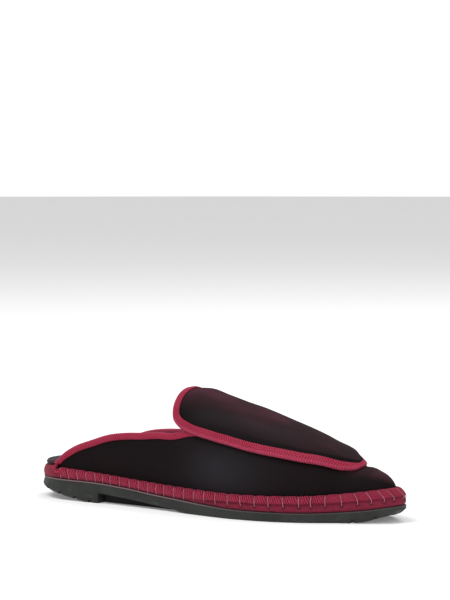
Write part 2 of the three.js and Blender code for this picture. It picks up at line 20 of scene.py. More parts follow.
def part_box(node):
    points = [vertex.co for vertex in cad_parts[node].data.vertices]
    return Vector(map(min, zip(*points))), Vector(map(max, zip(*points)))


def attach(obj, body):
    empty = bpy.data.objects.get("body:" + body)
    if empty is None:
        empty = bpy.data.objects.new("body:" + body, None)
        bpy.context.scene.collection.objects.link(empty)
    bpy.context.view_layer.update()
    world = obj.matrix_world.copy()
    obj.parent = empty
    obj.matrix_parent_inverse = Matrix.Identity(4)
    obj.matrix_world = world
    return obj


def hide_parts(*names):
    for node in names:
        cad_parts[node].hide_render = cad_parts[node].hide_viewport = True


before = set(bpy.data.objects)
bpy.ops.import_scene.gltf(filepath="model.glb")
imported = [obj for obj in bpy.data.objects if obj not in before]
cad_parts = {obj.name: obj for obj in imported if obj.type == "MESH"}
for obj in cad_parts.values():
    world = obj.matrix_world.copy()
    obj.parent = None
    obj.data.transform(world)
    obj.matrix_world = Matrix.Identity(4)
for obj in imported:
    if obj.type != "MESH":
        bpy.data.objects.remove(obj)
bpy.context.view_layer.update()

log = logging.getLogger("slipper")

Array = np.ndarray
Colour = tuple[float, float, float, float]
QUARTER_TURN = math.pi / 2
MIDDLE_LINE = 3.77
CLEARANCE = 0.3
WELD = 4e-6
SLIVER = 2e-6


def paint(red: float, green: float, blue: float) -> Colour:
    """Gives the linear colour of display values from 0 to 255."""
    shown = np.array([red, green, blue]) / 255
    linear = np.where(shown <= 0.04045, shown / 12.92, ((shown + 0.055) / 1.055) ** 2.4)
    return (*[float(part) for part in linear], 1.0)


def smooth(values: Array | float, low: float, high: float) -> Array:
    """Rises smoothly from 0 at low to 1 at high."""
    part = np.clip((np.asarray(values, float) - low) / (high - low), 0, 1)
    return part * part * (3 - 2 * part)


def mix(low: Array | float, high: Array | float, part: Array | float) -> Array:
    """Goes in a straight line from low to high."""
    return low + (high - low) * np.asarray(part, float)


def running(points: Array, axis: int = 0) -> Array:
    """Gives the distance travelled along a line of points, from 0 at its first point."""
    steps = np.linalg.norm(np.diff(points, axis=axis), axis=-1)
    return np.insert(np.cumsum(steps, axis=axis), 0, 0.0, axis=axis)


def put(name: str, data: bpy.types.ID) -> bpy.types.Object:
    """Makes an object from its data and links it to the scene."""
    made = bpy.data.objects.new(name, data)
    bpy.context.scene.collection.objects.link(made)
    return made


class Side(Enum):
    """The two sides of the right shoe."""

    OUTER = -1
    INNER = 1


class Curve:
    """A smooth curve through one column of a table, level where the column turns."""

    def __init__(self, rows: Sequence[Sequence[float]], column: int) -> None:
        """Fits the curve.

        Args:
            rows: The table, with the place along the curve first in each row.
            column: The column that the curve goes through.
        """
        table = np.array(rows, float)
        self.at = table[:, 0]
        self.values = table[:, column]
        steps = np.diff(self.at)
        chords = np.diff(self.values) / steps
        blend = (steps[1:] * chords[:-1] + steps[:-1] * chords[1:]) / (steps[1:] + steps[:-1])
        turning = chords[:-1] * chords[1:] <= 0
        self.slopes = np.concatenate([chords[:1], np.where(turning, 0, blend), chords[-1:]])

    def __call__(self, at: Array | float) -> Array:
        """Gives the curve's height at each place."""
        place = np.asarray(at, float)
        i = np.clip(np.searchsorted(self.at[1:], place, side="left"), 0, len(self.at) - 2)
        step = self.at[i + 1] - self.at[i]
        part = np.clip((place - self.at[i]) / step, 0, 1)
        rise = self.values[i + 1] - self.values[i]
        bend = part * (1 - part) * ((1 - part) * self.slopes[i] - part * self.slopes[i + 1]) * step
        return self.values[i] + rise * part * part * (3 - 2 * part) + bend


# Place, swing, outer half width, inner half width
PLAN_ROWS = (
    (0, 0, 0.463, 0.463), (0.08, 0, 0.481, 0.481), (0.16, 0, 0.496, 0.5),
    (0.26, 0, 0.494, 0.481), (0.36, 0.03, 0.467, 0.425), (0.46, 0.085, 0.458, 0.41),
    (0.56, 0.21, 0.48, 0.444), (0.64, 0.35, 0.507, 0.487), (0.72, 0.53, 0.495, 0.497),
    (0.8, 0.7, 0.425, 0.447), (0.88, 0.86, 0.289, 0.336), (0.95, 0.96, 0.184, 0.217),
    (1, 1, 0.132, 0.158),
)
# Place, heel rubber, toe spring, band height, shoulder width, shoulder drop, tape skirt
SIDE_ROWS = (
    (0, 1, 0, 0.76, 0.43, 0.5, 0.32), (0.12, 0.97, 0, 0.73, 0.48, 0.5, 0.32),
    (0.22, 0.93, 0, 0.61, 0.57, 0.52, 0.2), (0.3, 0.76, 0, 0.58, 0.67, 0.58, 0.14),
    (0.4, 0.43, 0, 0.67, 0.73, 0.7, 0.18), (0.5, 0.2, 0, 0.745, 0.8, 0.8, 0.16),
    (0.62, 0.045, 0, 0.82, 0.84, 0.85, 0.05), (0.74, 0, 0, 0.9, 0.88, 0.9, 0.035),
    (0.84, 0, 0.06, 0.98, 0.92, 0.95, 0.035), (0.92, 0, 0.36, 1.02, 0.96, 1, 0.035),
    (1, 0, 1, 1, 1, 1, 0.035),
)
# Place, crest height, ridge shift, fullness
LAST_ROWS = (
    (0, 1.003, 0.036, 2.6), (0.24, 1.003, 0.036, 2.6), (0.42, 1.004, 0.036, 2.26),
    (0.47, 1.005, 0.035, 2.25), (0.516, 0.96, 0.032, 2.25), (0.565, 0.905, 0.03, 2.23),
    (0.61, 0.861, 0.024, 2.2), (0.677, 0.776, 0.015, 2.15), (0.746, 0.683, 0.01, 2.1),
    (0.806, 0.596, 0, 2.07), (0.843, 0.544, -0.004, 2.05), (0.88, 0.484, -0.008, 2.05),
    (0.905, 0.455, -0.008, 2.05), (0.93, 0.45, -0.006, 2.05), (0.957, 0.42, -0.004, 2),
    (1, 0.37, 0, 2),
)
# Place along the quarter, outer rim height, inner rim height
TOPLINE_ROWS = (
    (0, 0.08, 0.08), (0.035, 0.147, 0.145), (0.08, 0.25, 0.24), (0.138, 0.36, 0.34),
    (0.195, 0.455, 0.43), (0.345, 0.635, 0.6), (0.483, 0.785, 0.74), (0.632, 0.88, 0.83),
    (0.782, 0.935, 0.885), (0.92, 0.99, 0.95), (1, 1, 0.975),
)
# Place along the apron, half width
APRON_ROWS = (
    (0, 1), (0.297, 1), (0.383, 1), (0.465, 0.984), (0.541, 0.937), (0.617, 0.876),
    (0.676, 0.812), (0.746, 0.712), (0.808, 0.598), (0.879, 0.445), (0.914, 0.348),
    (0.949, 0.258), (0.984, 0.195), (1, 0.17),
)


@dataclass(frozen=True)
class Last:
    """The shoe's own form: outline of the sole, heights of its layers and skin of the last."""

    sole_length: float = 248
    ball_width: float = 76
    heel_width: float = 54
    toe_swing: float = 9.4
    instep_height: float = 67.8
    quarter_height: float = 30.7
    heel_rubber: float = 13.1
    forefoot_rubber: float = 6.4
    waist_rubber: float = 6.6
    front_lap: float = 0.9
    rubber_toe_spring: float = 4.7
    tread_toe_spring: float = 8.5
    toe_spring_length: float = 27
    heel_block: float = 54.6
    rocker_length: float = 46
    rocker_rise: float = 8
    rocker_ease: float = 1.1
    spring_ease: float = 2.4
    waist_length: float = 55
    breast_length: float = 1
    waist_run_out: float = 14
    web_set_in: float = 6
    web_lift: float = 0.4
    band_height: float = 9
    band_set_in: float = 0.9
    heel_band_set_in: float = 0.2
    heel_band_rise: float = 0.9
    shoulder_width: float = 6
    shoulder_drop: float = 4
    tape_lift: float = 1.1
    tape_wrap: float = 0.96
    toe_slack: float = 1.3
    quarter_start: float = 18
    tape_start: float = 24.5
    throat_start: float = 105
    throat_end: float = 146
    nose_length: float = 10
    apron_start: float = 101
    apron_length: float = 124.5
    apron_lean: float = 0.34
    apron_lean_reach: float = 26
    apron_half_width: float = 34.4
    apron_corner: float = 26
    apron_corner_fullness: float = 2.6
    apron_hollow: float = 3.4
    apron_hollow_reach: float = 40
    apron_tip: float = 7
    straight_end: float = 0.8
    heel_round: float = 0.115
    toe_round: float = 0.07
    toe_centre: float = 0.827
    section_steps: int = 60
    swing: Curve = Curve(PLAN_ROWS, 1)
    plan: tuple[Curve, Curve] = (Curve(PLAN_ROWS, 2), Curve(PLAN_ROWS, 3))
    heel_share: Curve = Curve(SIDE_ROWS, 1)
    toe_share: Curve = Curve(SIDE_ROWS, 2)
    band_share: Curve = Curve(SIDE_ROWS, 3)
    width_share: Curve = Curve(SIDE_ROWS, 4)
    drop_share: Curve = Curve(SIDE_ROWS, 5)
    skirt_share: Curve = Curve(SIDE_ROWS, 6)
    crest_share: Curve = Curve(LAST_ROWS, 1)
    ridge_share: Curve = Curve(LAST_ROWS, 2)
    fullness: Curve = Curve(LAST_ROWS, 3)
    topline: tuple[Curve, Curve] = (Curve(TOPLINE_ROWS, 1), Curve(TOPLINE_ROWS, 2))
    apron_share: Curve = Curve(APRON_ROWS, 1)

    def stations(self, count: int) -> Array:
        """Gives shares of the length, evenly spaced along the outline with its round ends."""
        heel_run = self.heel_round * QUARTER_TURN
        straight = 1 - self.heel_round - self.toe_round
        run = np.linspace(0, 1, count + 1) * (heel_run + straight + self.toe_round * QUARTER_TURN)
        back = self.heel_round * (1 - np.cos(np.minimum(run, heel_run) / self.heel_round))
        ahead = np.clip((run - heel_run - straight) / self.toe_round, 0, QUARTER_TURN)
        front = 1 - self.toe_round + self.toe_round * np.sin(ahead)
        middle = run - heel_run + self.heel_round
        return np.where(run < heel_run, back, np.where(run < heel_run + straight, middle, front))

    def half_width(self, share: Array, side: Array) -> Array:
        """Gives the outline's half width beside the centre line."""
        width = mix(self.heel_width, self.ball_width, smooth(share, 0.2, 0.6))
        back = np.maximum(0, 1 - share / self.heel_round)
        front = np.maximum(0, (share - 1 + self.toe_round) / self.toe_round)
        ends = np.sqrt(np.maximum(0, 1 - back**2)) * np.sqrt(np.maximum(0, 1 - front**2))
        return width * np.where(side < 0, self.plan[0](share), self.plan[1](share)) * ends

    def edge_point(self, share: Array, side: Array, set_in: Array, height: Array) -> Array:
        """Gives points on the outline, set in from the edge toward the centre line.

        Args:
            share: Shares of the length from heel to toe.
            side: -1 on the outer side and 1 on the inner side.
            set_in: Distance inward from the edge.
            height: Height over the floor.

        Returns:
            The points, with their coordinates last.
        """
        share, side, set_in, height = np.broadcast_arrays(share, side, set_in, height)
        share = share.astype(float)
        x = self.sole_length * share
        y = self.toe_swing * self.swing(share) + side * self.half_width(share, side)
        middle = np.clip(share, self.heel_round, self.toe_centre)
        away_x = self.sole_length * middle - x
        away_y = self.toe_swing * self.swing(middle) - y
        away = np.hypot(away_x, away_y)
        return np.stack([x + away_x / away * set_in, y + away_y / away * set_in, height], -1)

    def rubber_top(self, share: Array) -> Array:
        """Gives the height of the rubber's upper edge."""
        heel = (self.heel_rubber - self.forefoot_rubber) * self.heel_share(share)
        return self.forefoot_rubber + heel + self.rubber_toe_spring * self.toe_share(share)

    def rubber_edge(self, share: Array) -> Array:
        """Gives the height where the cloth meets the rubber: the cloth laps over it in front."""
        return self.rubber_top(share) - self.front_lap * smooth(share, 0.45, 0.68)

    def hollowed(self, share: Array) -> Array:
        """Gives how far the sole's sides are hollowed under the waist, from 0 to 1."""
        x = share * self.sole_length
        waist_end = self.heel_block + self.waist_length
        opened = smooth(x, self.heel_block, self.heel_block + self.breast_length)
        return opened * (1 - smooth(x, waist_end, waist_end + self.waist_run_out))

    def underside(self, share: Array) -> Array:
        """Gives the height of the rubber's underside, without its grooves."""
        x = share * self.sole_length
        rocker = self.rocker_rise * np.maximum(0, 1 - x / self.rocker_length) ** self.rocker_ease
        ahead = np.maximum(0, 1 - (self.sole_length - x) / self.toe_spring_length)
        spring = self.tread_toe_spring * ahead**self.spring_ease
        hollow = self.hollowed(share) * (self.rubber_top(share) - self.waist_rubber)
        return rocker + spring + hollow

    def taped(self, share: Array) -> Array:
        """Gives how far the plain heel of the band has changed into the taped part."""
        start = self.tape_start / self.sole_length
        return smooth(share, start * 0.6, start * 0.97)

    def midsole_top(self, share: Array) -> Array:
        """Gives the height of the band's level top."""
        band = self.rubber_top(share) + self.band_height * self.band_share(share)
        return band - self.tape_lift + self.heel_band_rise * (1 - self.taped(share))

    def side_set_in(self, share: Array) -> Array:
        """Gives how far the band's upright side stands inside the rubber's edge."""
        return mix(self.heel_band_set_in, self.band_set_in, self.taped(share))

    def shoulder(self, share: Array) -> Array:
        """Gives the width of the band's rounded shoulder."""
        return self.shoulder_width * self.width_share(share)

    def shoulder_point(self, share: Array, side: Array, turn: Array, grow: Array) -> Array:
        """Gives points on the band's shoulder, from its upright side to its level top.

        Args:
            share: Shares of the length from heel to toe.
            side: -1 on the outer side and 1 on the inner side.
            turn: 0 at the upright side and 1 at the level top.
            grow: Distance outward from the shoulder's skin.

        Returns:
            The points, with their coordinates last.
        """
        reach = self.shoulder(share) - self.side_set_in(share)
        drop = self.shoulder_drop * self.drop_share(share)
        angle = turn * QUARTER_TURN
        slack = self.toe_slack * smooth(share, 0.82, 0.99) * np.sin(np.minimum(turn, 1) * math.pi)
        set_in = self.shoulder(share) + slack - (reach + grow) * np.cos(angle)
        height = self.midsole_top(share) - drop + (drop + grow) * np.sin(angle)
        return self.edge_point(share, side, set_in, height)

    def skin_point(self, share: Array, side: Array, angle: Array, lift: Array) -> Array:
        """Gives points on the skin of the last.

        Args:
            share: Shares of the length from heel to toe.
            side: -1 on the outer side and 1 on the inner side.
            angle: 0 at the foot on the band and a quarter turn at the crest.
            lift: Distance outward from the skin.

        Returns:
            The points, with their coordinates last.
        """
        share, side, angle, lift = np.broadcast_arrays(share, side, angle, lift)
        foot = self.midsole_top(share) + CLEARANCE
        set_in = self.shoulder(share) + CLEARANCE - lift
        base = self.edge_point(share, side, set_in, foot)
        across = self.edge_point(share, -side, set_in, foot)
        nose_share = self.nose_length / self.sole_length
        nose = np.maximum(0, (share - 1 + nose_share) / nose_share)
        closing = np.sqrt(np.maximum(0, 1 - nose**2))
        crest = (self.instep_height * self.crest_share(share) + lift - foot) * closing
        power = 2 / self.fullness(share)
        spread = np.maximum(0, np.cos(angle)) ** power
        climb = np.maximum(0, np.sin(angle)) ** power
        middle = (base + across) / 2
        ridge = middle[..., 1] + self.ball_width * self.ridge_share(share) * closing
        x = mix(middle[..., 0], base[..., 0], spread)
        y = mix(ridge, base[..., 1], spread)
        return np.stack([x, y, foot + crest * climb], -1)

    def girths(self, shares: Array, side: Array) -> Array:
        """Gives running distances from the crest down to the foot, a row for each share."""
        angles = (1 - np.linspace(0, 1, self.section_steps + 1)) * QUARTER_TURN
        return running(self.skin_point(shares[:, None], side[:, None], angles[None, :], 0.0), 1)

    def on_skin(self, x: Array, across: Array, lift: Array) -> Array:
        """Gives points on the skin by their distance across it from the crest.

        Args:
            x: Places along the shoe.
            across: Distances across from the crest, negative on the outer side.
            lift: Distance outward from the skin.

        Returns:
            The points, with their coordinates last.
        """
        x, across, lift = np.broadcast_arrays(x, across, lift)
        shape = x.shape
        x, across, lift = x.ravel(), across.ravel(), lift.ravel()
        side = np.where(across < 0, -1, 1)
        keys, row = np.unique(np.round(x, 5) * side + side * 1000, return_inverse=True)
        key_side = np.where(keys < 0, -1, 1)
        runs = self.girths((np.abs(keys) - 1000) / self.sole_length, key_side)
        run = np.minimum(np.abs(across), runs[row, -1])
        i = np.clip((runs[row] < run[:, None]).sum(1), 1, self.section_steps)
        before = runs[row, i - 1]
        length = np.maximum(1e-9, runs[row, i] - before)
        angle = (1 - (i - 1 + (run - before) / length) / self.section_steps) * QUARTER_TURN
        return self.skin_point(x / self.sole_length, side, angle, lift).reshape(*shape, 3)

    def girth_total(self, x: Array, side: Side) -> Array:
        """Gives the whole distance from the crest down to the foot."""
        shares = np.atleast_1d(x) / self.sole_length
        return self.girths(shares, np.full(len(shares), side.value))[:, -1]

    def rim_run(self, x: Array, side: Side) -> Array:
        """Gives the distance from the crest down to the topline, or to the throat's edge."""
        x = np.atleast_1d(np.asarray(x, float))
        held = np.minimum(x, self.throat_start)
        share = held / self.sole_length
        along = (held - self.quarter_start) / (self.throat_start - self.quarter_start)
        height = self.quarter_height * self.topline[0 if side is Side.OUTER else 1](along)
        crest = self.instep_height * self.crest_share(share) - self.midsole_top(share) - CLEARANCE
        angle = np.arcsin((height / crest) ** (self.fullness(share) / 2))
        place = (1 - angle / QUARTER_TURN) * self.section_steps
        runs = self.girths(share, np.full(len(share), side.value))
        whole = np.minimum(place.astype(int), self.section_steps - 1)
        rows = np.arange(len(x))
        run = mix(runs[rows, whole], runs[rows, whole + 1], place - whole)
        throat = np.clip((x - self.throat_start) / (self.throat_end - self.throat_start), 0, 1)
        return run * np.sqrt(1 - throat**2)

    def collar_places(self, quarter: int, crowding: float, throat: int) -> Array:
        """Gives places along the topline, crowded toward the heel and the throat's front.

        Args:
            quarter: Number of places along the quarter.
            crowding: Power that draws them toward the heel.
            throat: Number of places along the throat.

        Returns:
            The places along the shoe.
        """
        length = self.throat_start - self.quarter_start
        back = self.quarter_start + length * np.linspace(0, 1, quarter) ** crowding
        turn = np.sin(np.linspace(0, QUARTER_TURN, throat))
        opening = self.throat_start + (self.throat_end - self.throat_start) * turn
        return np.concatenate([back, opening[1:]])

    def apron_half(self, x: Array) -> Array:
        """Gives the apron's half width, round at its free end's corners and its tip."""
        along = (x - self.apron_start) / self.apron_length
        back = np.maximum(0, 1 - (x - self.apron_start) / self.apron_corner)
        ahead = np.maximum(0, 1 - (self.apron_start + self.apron_length - x) / self.apron_tip)
        power = self.apron_corner_fullness
        corner = np.maximum(0, 1 - np.minimum(1, back) ** power) ** (1 / power)
        tip = np.sqrt(np.maximum(0, 1 - np.minimum(1, ahead) ** 2))
        return self.apron_half_width * self.apron_share(along) * corner * tip

    def apron_x(self, x: Array, across: Array) -> Array:
        """Gives the place along the shoe: free end hollowed, tip leaning to the outer side."""
        beside = np.minimum(1, np.abs(across) / (self.apron_half_width * self.straight_end))
        fade = 1 - smooth(x, self.apron_start, self.apron_start + self.apron_hollow_reach)
        tip = self.apron_start + self.apron_length
        lean = self.apron_lean * smooth(x, tip - self.apron_lean_reach, tip)
        return x + self.apron_hollow * (1 - beside**2) * fade - lean * across

    def apron_stations(self, end: int, middle: int, tip: int) -> Array:
        """Gives places along the apron, evenly spaced across its free end and round its tip.

        Args:
            end: Steps across half of the free end.
            middle: Steps from the corners to the tip.
            tip: Steps round the tip.

        Returns:
            The places along the shoe.
        """
        power = self.apron_corner_fullness
        width = np.linspace(0, 1, end + 1) * 0.97
        ends = self.apron_start + self.apron_corner * (1 - (1 - width**power) ** (1 / power))
        finish = self.apron_start + self.apron_length
        body = np.linspace(ends[-1], finish - self.apron_tip, middle + 1)[1:]
        nose = finish - self.apron_tip * (1 - np.sin(np.linspace(0, QUARTER_TURN, tip + 1)[1:]))
        return np.concatenate([ends, body, nose])


class Value:
    """A node's output, with operators that add Math nodes."""

    def __init__(self, shading: "Shading", socket: bpy.types.NodeSocket) -> None:
        """Keeps the socket and the shading that it belongs to."""
        self.shading = shading
        self.socket = socket

    def _math(self, operation: str, first: Any, second: Any = 0.0) -> "Value":
        """Adds one Math node."""
        return self.shading.node("ShaderNodeMath", {"operation": operation}, {0: first, 1: second})

    def __add__(self, other: Any) -> "Value":
        """Adds."""
        return self._math("ADD", self, other)

    def __radd__(self, other: Any) -> "Value":
        """Adds to a number."""
        return self._math("ADD", other, self)

    def __sub__(self, other: Any) -> "Value":
        """Subtracts."""
        return self._math("SUBTRACT", self, other)

    def __rsub__(self, other: Any) -> "Value":
        """Subtracts from a number."""
        return self._math("SUBTRACT", other, self)

    def __mul__(self, other: Any) -> "Value":
        """Multiplies."""
        return self._math("MULTIPLY", self, other)

    def __rmul__(self, other: Any) -> "Value":
        """Multiplies a number."""
        return self._math("MULTIPLY", other, self)

    def sine(self) -> "Value":
        """Gives the sine."""
        return self._math("SINE", self)

    def size(self) -> "Value":
        """Gives the value without its sign."""
        return self._math("ABSOLUTE", self)

    def wave(self, pitch: float) -> "Value":
        """Gives a wave from 0 to 1 with the given pitch."""
        return (self * (2 * math.pi / pitch)).sine() * 0.5 + 0.5

    def between(self, low: float, high: float) -> "Value":
        """Rises smoothly from 0 at low to 1 at high."""
        settings = {"interpolation_type": "SMOOTHSTEP"}
        sockets = {"Value": self, "From Min": low, "From Max": high}
        return self.shading.node("ShaderNodeMapRange", settings, sockets)


class Shading:
    """The nodes of one material, round one Principled shader."""

    def __init__(self, name: str, **sockets: Any) -> None:
        """Makes the material.

        Args:
            name: The material's name.
            sockets: Plain values of the shader's sockets, with _ for each space.
        """
        self.material = bpy.data.materials.new(name)
        self.material.use_nodes = True
        self.nodes = self.material.node_tree.nodes
        self.links = self.material.node_tree.links
        self.shader = self.nodes["Principled BSDF"]
        for socket, value in sockets.items():
            self.shader.inputs[socket.replace("_", " ")].default_value = value

    def node(
        self,
        kind: str,
        settings: Mapping[str, Any] | None = None,
        sockets: Mapping[str | int, Any] | None = None,
        output: str | int = 0,
    ) -> Value:
        """Adds a node.

        Args:
            kind: The node's type.
            settings: The node's own settings, which are set first.
            sockets: Values or links for its sockets.
            output: The output that is wanted.

        Returns:
            That output.
        """
        made = self.nodes.new(kind)
        for name, value in (settings or {}).items():
            setattr(made, name, value)
        for name, value in (sockets or {}).items():
            self.feed(made.inputs[name], value)
        return Value(self, made.outputs[output])

    def feed(self, socket: bpy.types.NodeSocket, value: Any) -> None:
        """Links or sets one socket."""
        if isinstance(value, Value):
            self.links.new(value.socket, socket)
        else:
            socket.default_value = value

    def mark(self, name: str) -> Value:
        """Reads one of the mesh's own marks."""
        return self.node("ShaderNodeAttribute", {"attribute_name": name}, None, "Fac")

    def place(self, stretch: Sequence[float] = (1, 1, 1)) -> Value:
        """Gives the place on the object, stretched along each axis."""
        coordinates = self.node("ShaderNodeTexCoord", None, None, "Object")
        sockets = {"Vector": coordinates, "Scale": stretch}
        return self.node("ShaderNodeMapping", None, sockets)

    def noise(self, size: float, detail: float = 2.0, stretch: Sequence[float] = (1, 1, 1)) -> Value:
        """Gives soft noise from 0 to 1, with features of the given size in millimetres."""
        sockets = {"Vector": self.place(stretch), "Scale": 1000 / size, "Detail": detail}
        return self.node("ShaderNodeTexNoise", None, sockets, "Fac")

    def blend(self, part: Any, low: Any, high: Any) -> Value:
        """Mixes two colours."""
        settings = {"data_type": "RGBA"}
        return self.node("ShaderNodeMix", settings, {0: part, 6: low, 7: high}, 2)

    def bump(self, height: Value, depth: float) -> Value:
        """Turns a height from 0 to 1 into a normal, for a depth in millimetres."""
        sockets = {"Strength": 1.0, "Distance": depth / 1000, "Height": height}
        return self.node("ShaderNodeBump", None, sockets, "Normal")

    def dress(self, **sockets: Value) -> bpy.types.Material:
        """Links values to the shader's sockets and gives the finished material."""
        for socket, value in sockets.items():
            self.feed(self.shader.inputs[socket.replace("_", " ")], value)
        return self.material


@dataclass(frozen=True)
class Velvet:
    """Short dense pile, nearly black, with a painted plum sheen where it faces up, a painted grey
    highlight where marked, and the shader's own sheen where it turns away.
    """

    name: str
    deep: Colour = paint(11, 8, 8)
    # Plum of a painted sheen on faces that look up.
    painted_top_sheen: Colour = paint(70, 33, 44)
    # Grey of a painted highlight, laid on where the mesh marks it.
    painted_highlight: Colour = paint(40, 38, 43)
    sheen: Colour = paint(150, 80, 100)

    def material(self) -> bpy.types.Material:
        """Makes the material."""
        shading = Shading(
            self.name,
            Specular_IOR_Level=0.1,
            Sheen_Weight=0.05,
            Sheen_Roughness=0.35,
            Sheen_Tint=self.sheen,
        )
        facing = shading.node("ShaderNodeNewGeometry", None, None, "Normal")
        upward = shading.node("ShaderNodeSeparateXYZ", None, {"Vector": facing}, "Z")
        brushed = shading.noise(24, 3, (0.6, 1, 1))
        pile = shading.noise(0.55, 2)
        # Painted plum sheen on faces that look up, broken by streaks, plus a little random tone.
        upward_sheen = upward.between(0.5, 0.97) * 0.85
        streaks = shading.noise(30, 2, (0.45, 1, 1)).between(0.42, 0.66)
        patches = upward_sheen * (streaks * 0.75 + 0.25) + (brushed.between(0.5, 0.8) + pile) * 0.07
        colour = shading.blend(patches, self.deep, self.painted_top_sheen)
        # Painted grey highlight where the mesh marks it, broken up by the brushed noise.
        colour = shading.blend(shading.mark("painted_highlight") * (brushed * 0.8 + 0.3), colour, self.painted_highlight)
        rough = brushed * 0.2 + 0.65
        relief = pile * 0.65 + shading.noise(2.4, 2) * 0.35
        return shading.dress(
            Base_Color=colour,
            Roughness=rough,
            Normal=shading.bump(relief, 0.2),
        )


@dataclass(frozen=True)
class Ribbon:
    """Crimson ribbon with herringbone ribs, painted shade in their hollows, a painted highlight along the
    folded edge and painted shade on its inner face.
    """

    name: str
    face: Colour = paint(188, 38, 74)
    # Dark of the painted shade in the rib hollows.
    hollow: Colour = paint(86, 6, 28)
    # Pink of a painted highlight along the folded edge.
    wear_and_highlight: Colour = paint(176, 66, 94)
    # Dark of the painted shade on the ribbon's inner face.
    inside: Colour = paint(96, 14, 38)
    pitch: float = 1.6
    depth: float = 0.5
    lean: float = 0.9
    spine: float = 2.0

    def material(self) -> bpy.types.Material:
        """Makes the material."""
        shading = Shading(
            self.name,
            Roughness=0.75,
            Specular_IOR_Level=0.25,
            Sheen_Weight=0.08,
            Sheen_Roughness=0.5,
            Sheen_Tint=paint(220, 110, 140),
        )
        along = shading.mark("along")
        across = shading.mark("across")
        ribs = (along + (across - self.spine).size() * self.lean).wave(self.pitch)
        threads = across.wave(0.62)
        weave = ribs * 0.75 + threads * 0.25
        shade = shading.noise(9, 2).between(0.3, 0.75)
        # Painted shade in the rib hollows.
        colour = shading.blend(ribs.between(0.0, 0.8), self.hollow, self.face)
        # Paler toward the folded edge: a painted highlight along the fold, with some random tone.
        pale = (1 - across.between(0.0, 0.7)) * 0.45 + shade * 0.22
        colour = shading.blend(pale, colour, self.wear_and_highlight)
        # Painted shade on the ribbon's inner face, the side toward the foot.
        colour = shading.blend(shading.mark("inner") * 0.55, colour, self.inside)
        fuzz = weave * 0.85 + shading.noise(0.35, 1) * 0.15
        return shading.dress(Base_Color=colour, Normal=shading.bump(fuzz, self.depth))


@dataclass(frozen=True)
class BandCloth:
    """Crimson cloth round the band, darker where the tape leaves it bare."""

    name: str
    face: Colour = paint(140, 26, 54)
    low: Colour = paint(130, 28, 54)
    hole: Colour = paint(24, 4, 9)

    def material(self) -> bpy.types.Material:
        """Makes the material."""
        shading = Shading(self.name, Roughness=0.8, Specular_IOR_Level=0.25, Sheen_Weight=0.06)
        along = shading.mark("along")
        across = shading.mark("across")
        weave = along.wave(0.9) * across.wave(0.8)
        colour = shading.blend(shading.mark("heel"), self.low, self.face)
        mottle = shading.noise(5, 3).between(0.25, 0.8)
        colour = shading.blend(weave * 0.4 + mottle * 0.25, colour, paint(70, 10, 26))
        colour = shading.blend(shading.mark("hole"), colour, self.hole)
        return shading.dress(Base_Color=colour, Normal=shading.bump(weave, 0.18))


@dataclass(frozen=True)
class Tape:
    """Bright ribbed tape, puffed between its stitches, with painted shade in its rib hollows, at its
    stitches and along its lower edge.
    """

    name: str
    face: Colour = paint(196, 40, 78)
    # Dark of the painted shade in the rib hollows.
    hollow: Colour = paint(76, 6, 26)
    hole: Colour = paint(24, 4, 9)
    pitch: float = 1.45

    def material(self) -> bpy.types.Material:
        """Makes the material."""
        shading = Shading(
            self.name,
            Roughness=0.7,
            Specular_IOR_Level=0.3,
            Sheen_Weight=0.08,
            Sheen_Roughness=0.45,
            Sheen_Tint=paint(220, 110, 140),
        )
        along = shading.mark("along")
        across = shading.mark("across")
        ribs = (along + across * 0.62).wave(self.pitch)
        fine = (along - across * 1.4).wave(0.55)
        relief = ribs * 0.8 + fine * 0.2
        # Painted shade in the rib hollows.
        colour = shading.blend(ribs.between(0.0, 0.85), self.hollow, self.face)
        # Painted shade in the creases at the stitches and along the lower edge.
        colour = shading.blend(shading.mark("crease_shade"), colour, paint(78, 10, 28))
        patches = shading.noise(7, 2).between(0.35, 0.8) * 0.3
        colour = shading.blend(patches, colour, paint(178, 52, 84))
        colour = shading.blend(shading.mark("hole"), colour, self.hole)
        return shading.dress(Base_Color=colour, Normal=shading.bump(relief, 0.7))


@dataclass(frozen=True)
class Thread:
    """Twisted sewing thread."""

    name: str
    colour: Colour = paint(218, 128, 154)
    dark: Colour = paint(128, 38, 64)

    def material(self) -> bpy.types.Material:
        """Makes the material."""
        shading = Shading(self.name, Roughness=0.6, Specular_IOR_Level=0.3)
        twist = (shading.mark("along") + shading.mark("across")).wave(0.5)
        fibre = shading.noise(0.3, 2)
        colour = shading.blend(twist * 0.5 + fibre * 0.3, self.colour, self.dark)
        return shading.dress(Base_Color=colour, Normal=shading.bump(twist, 0.08))


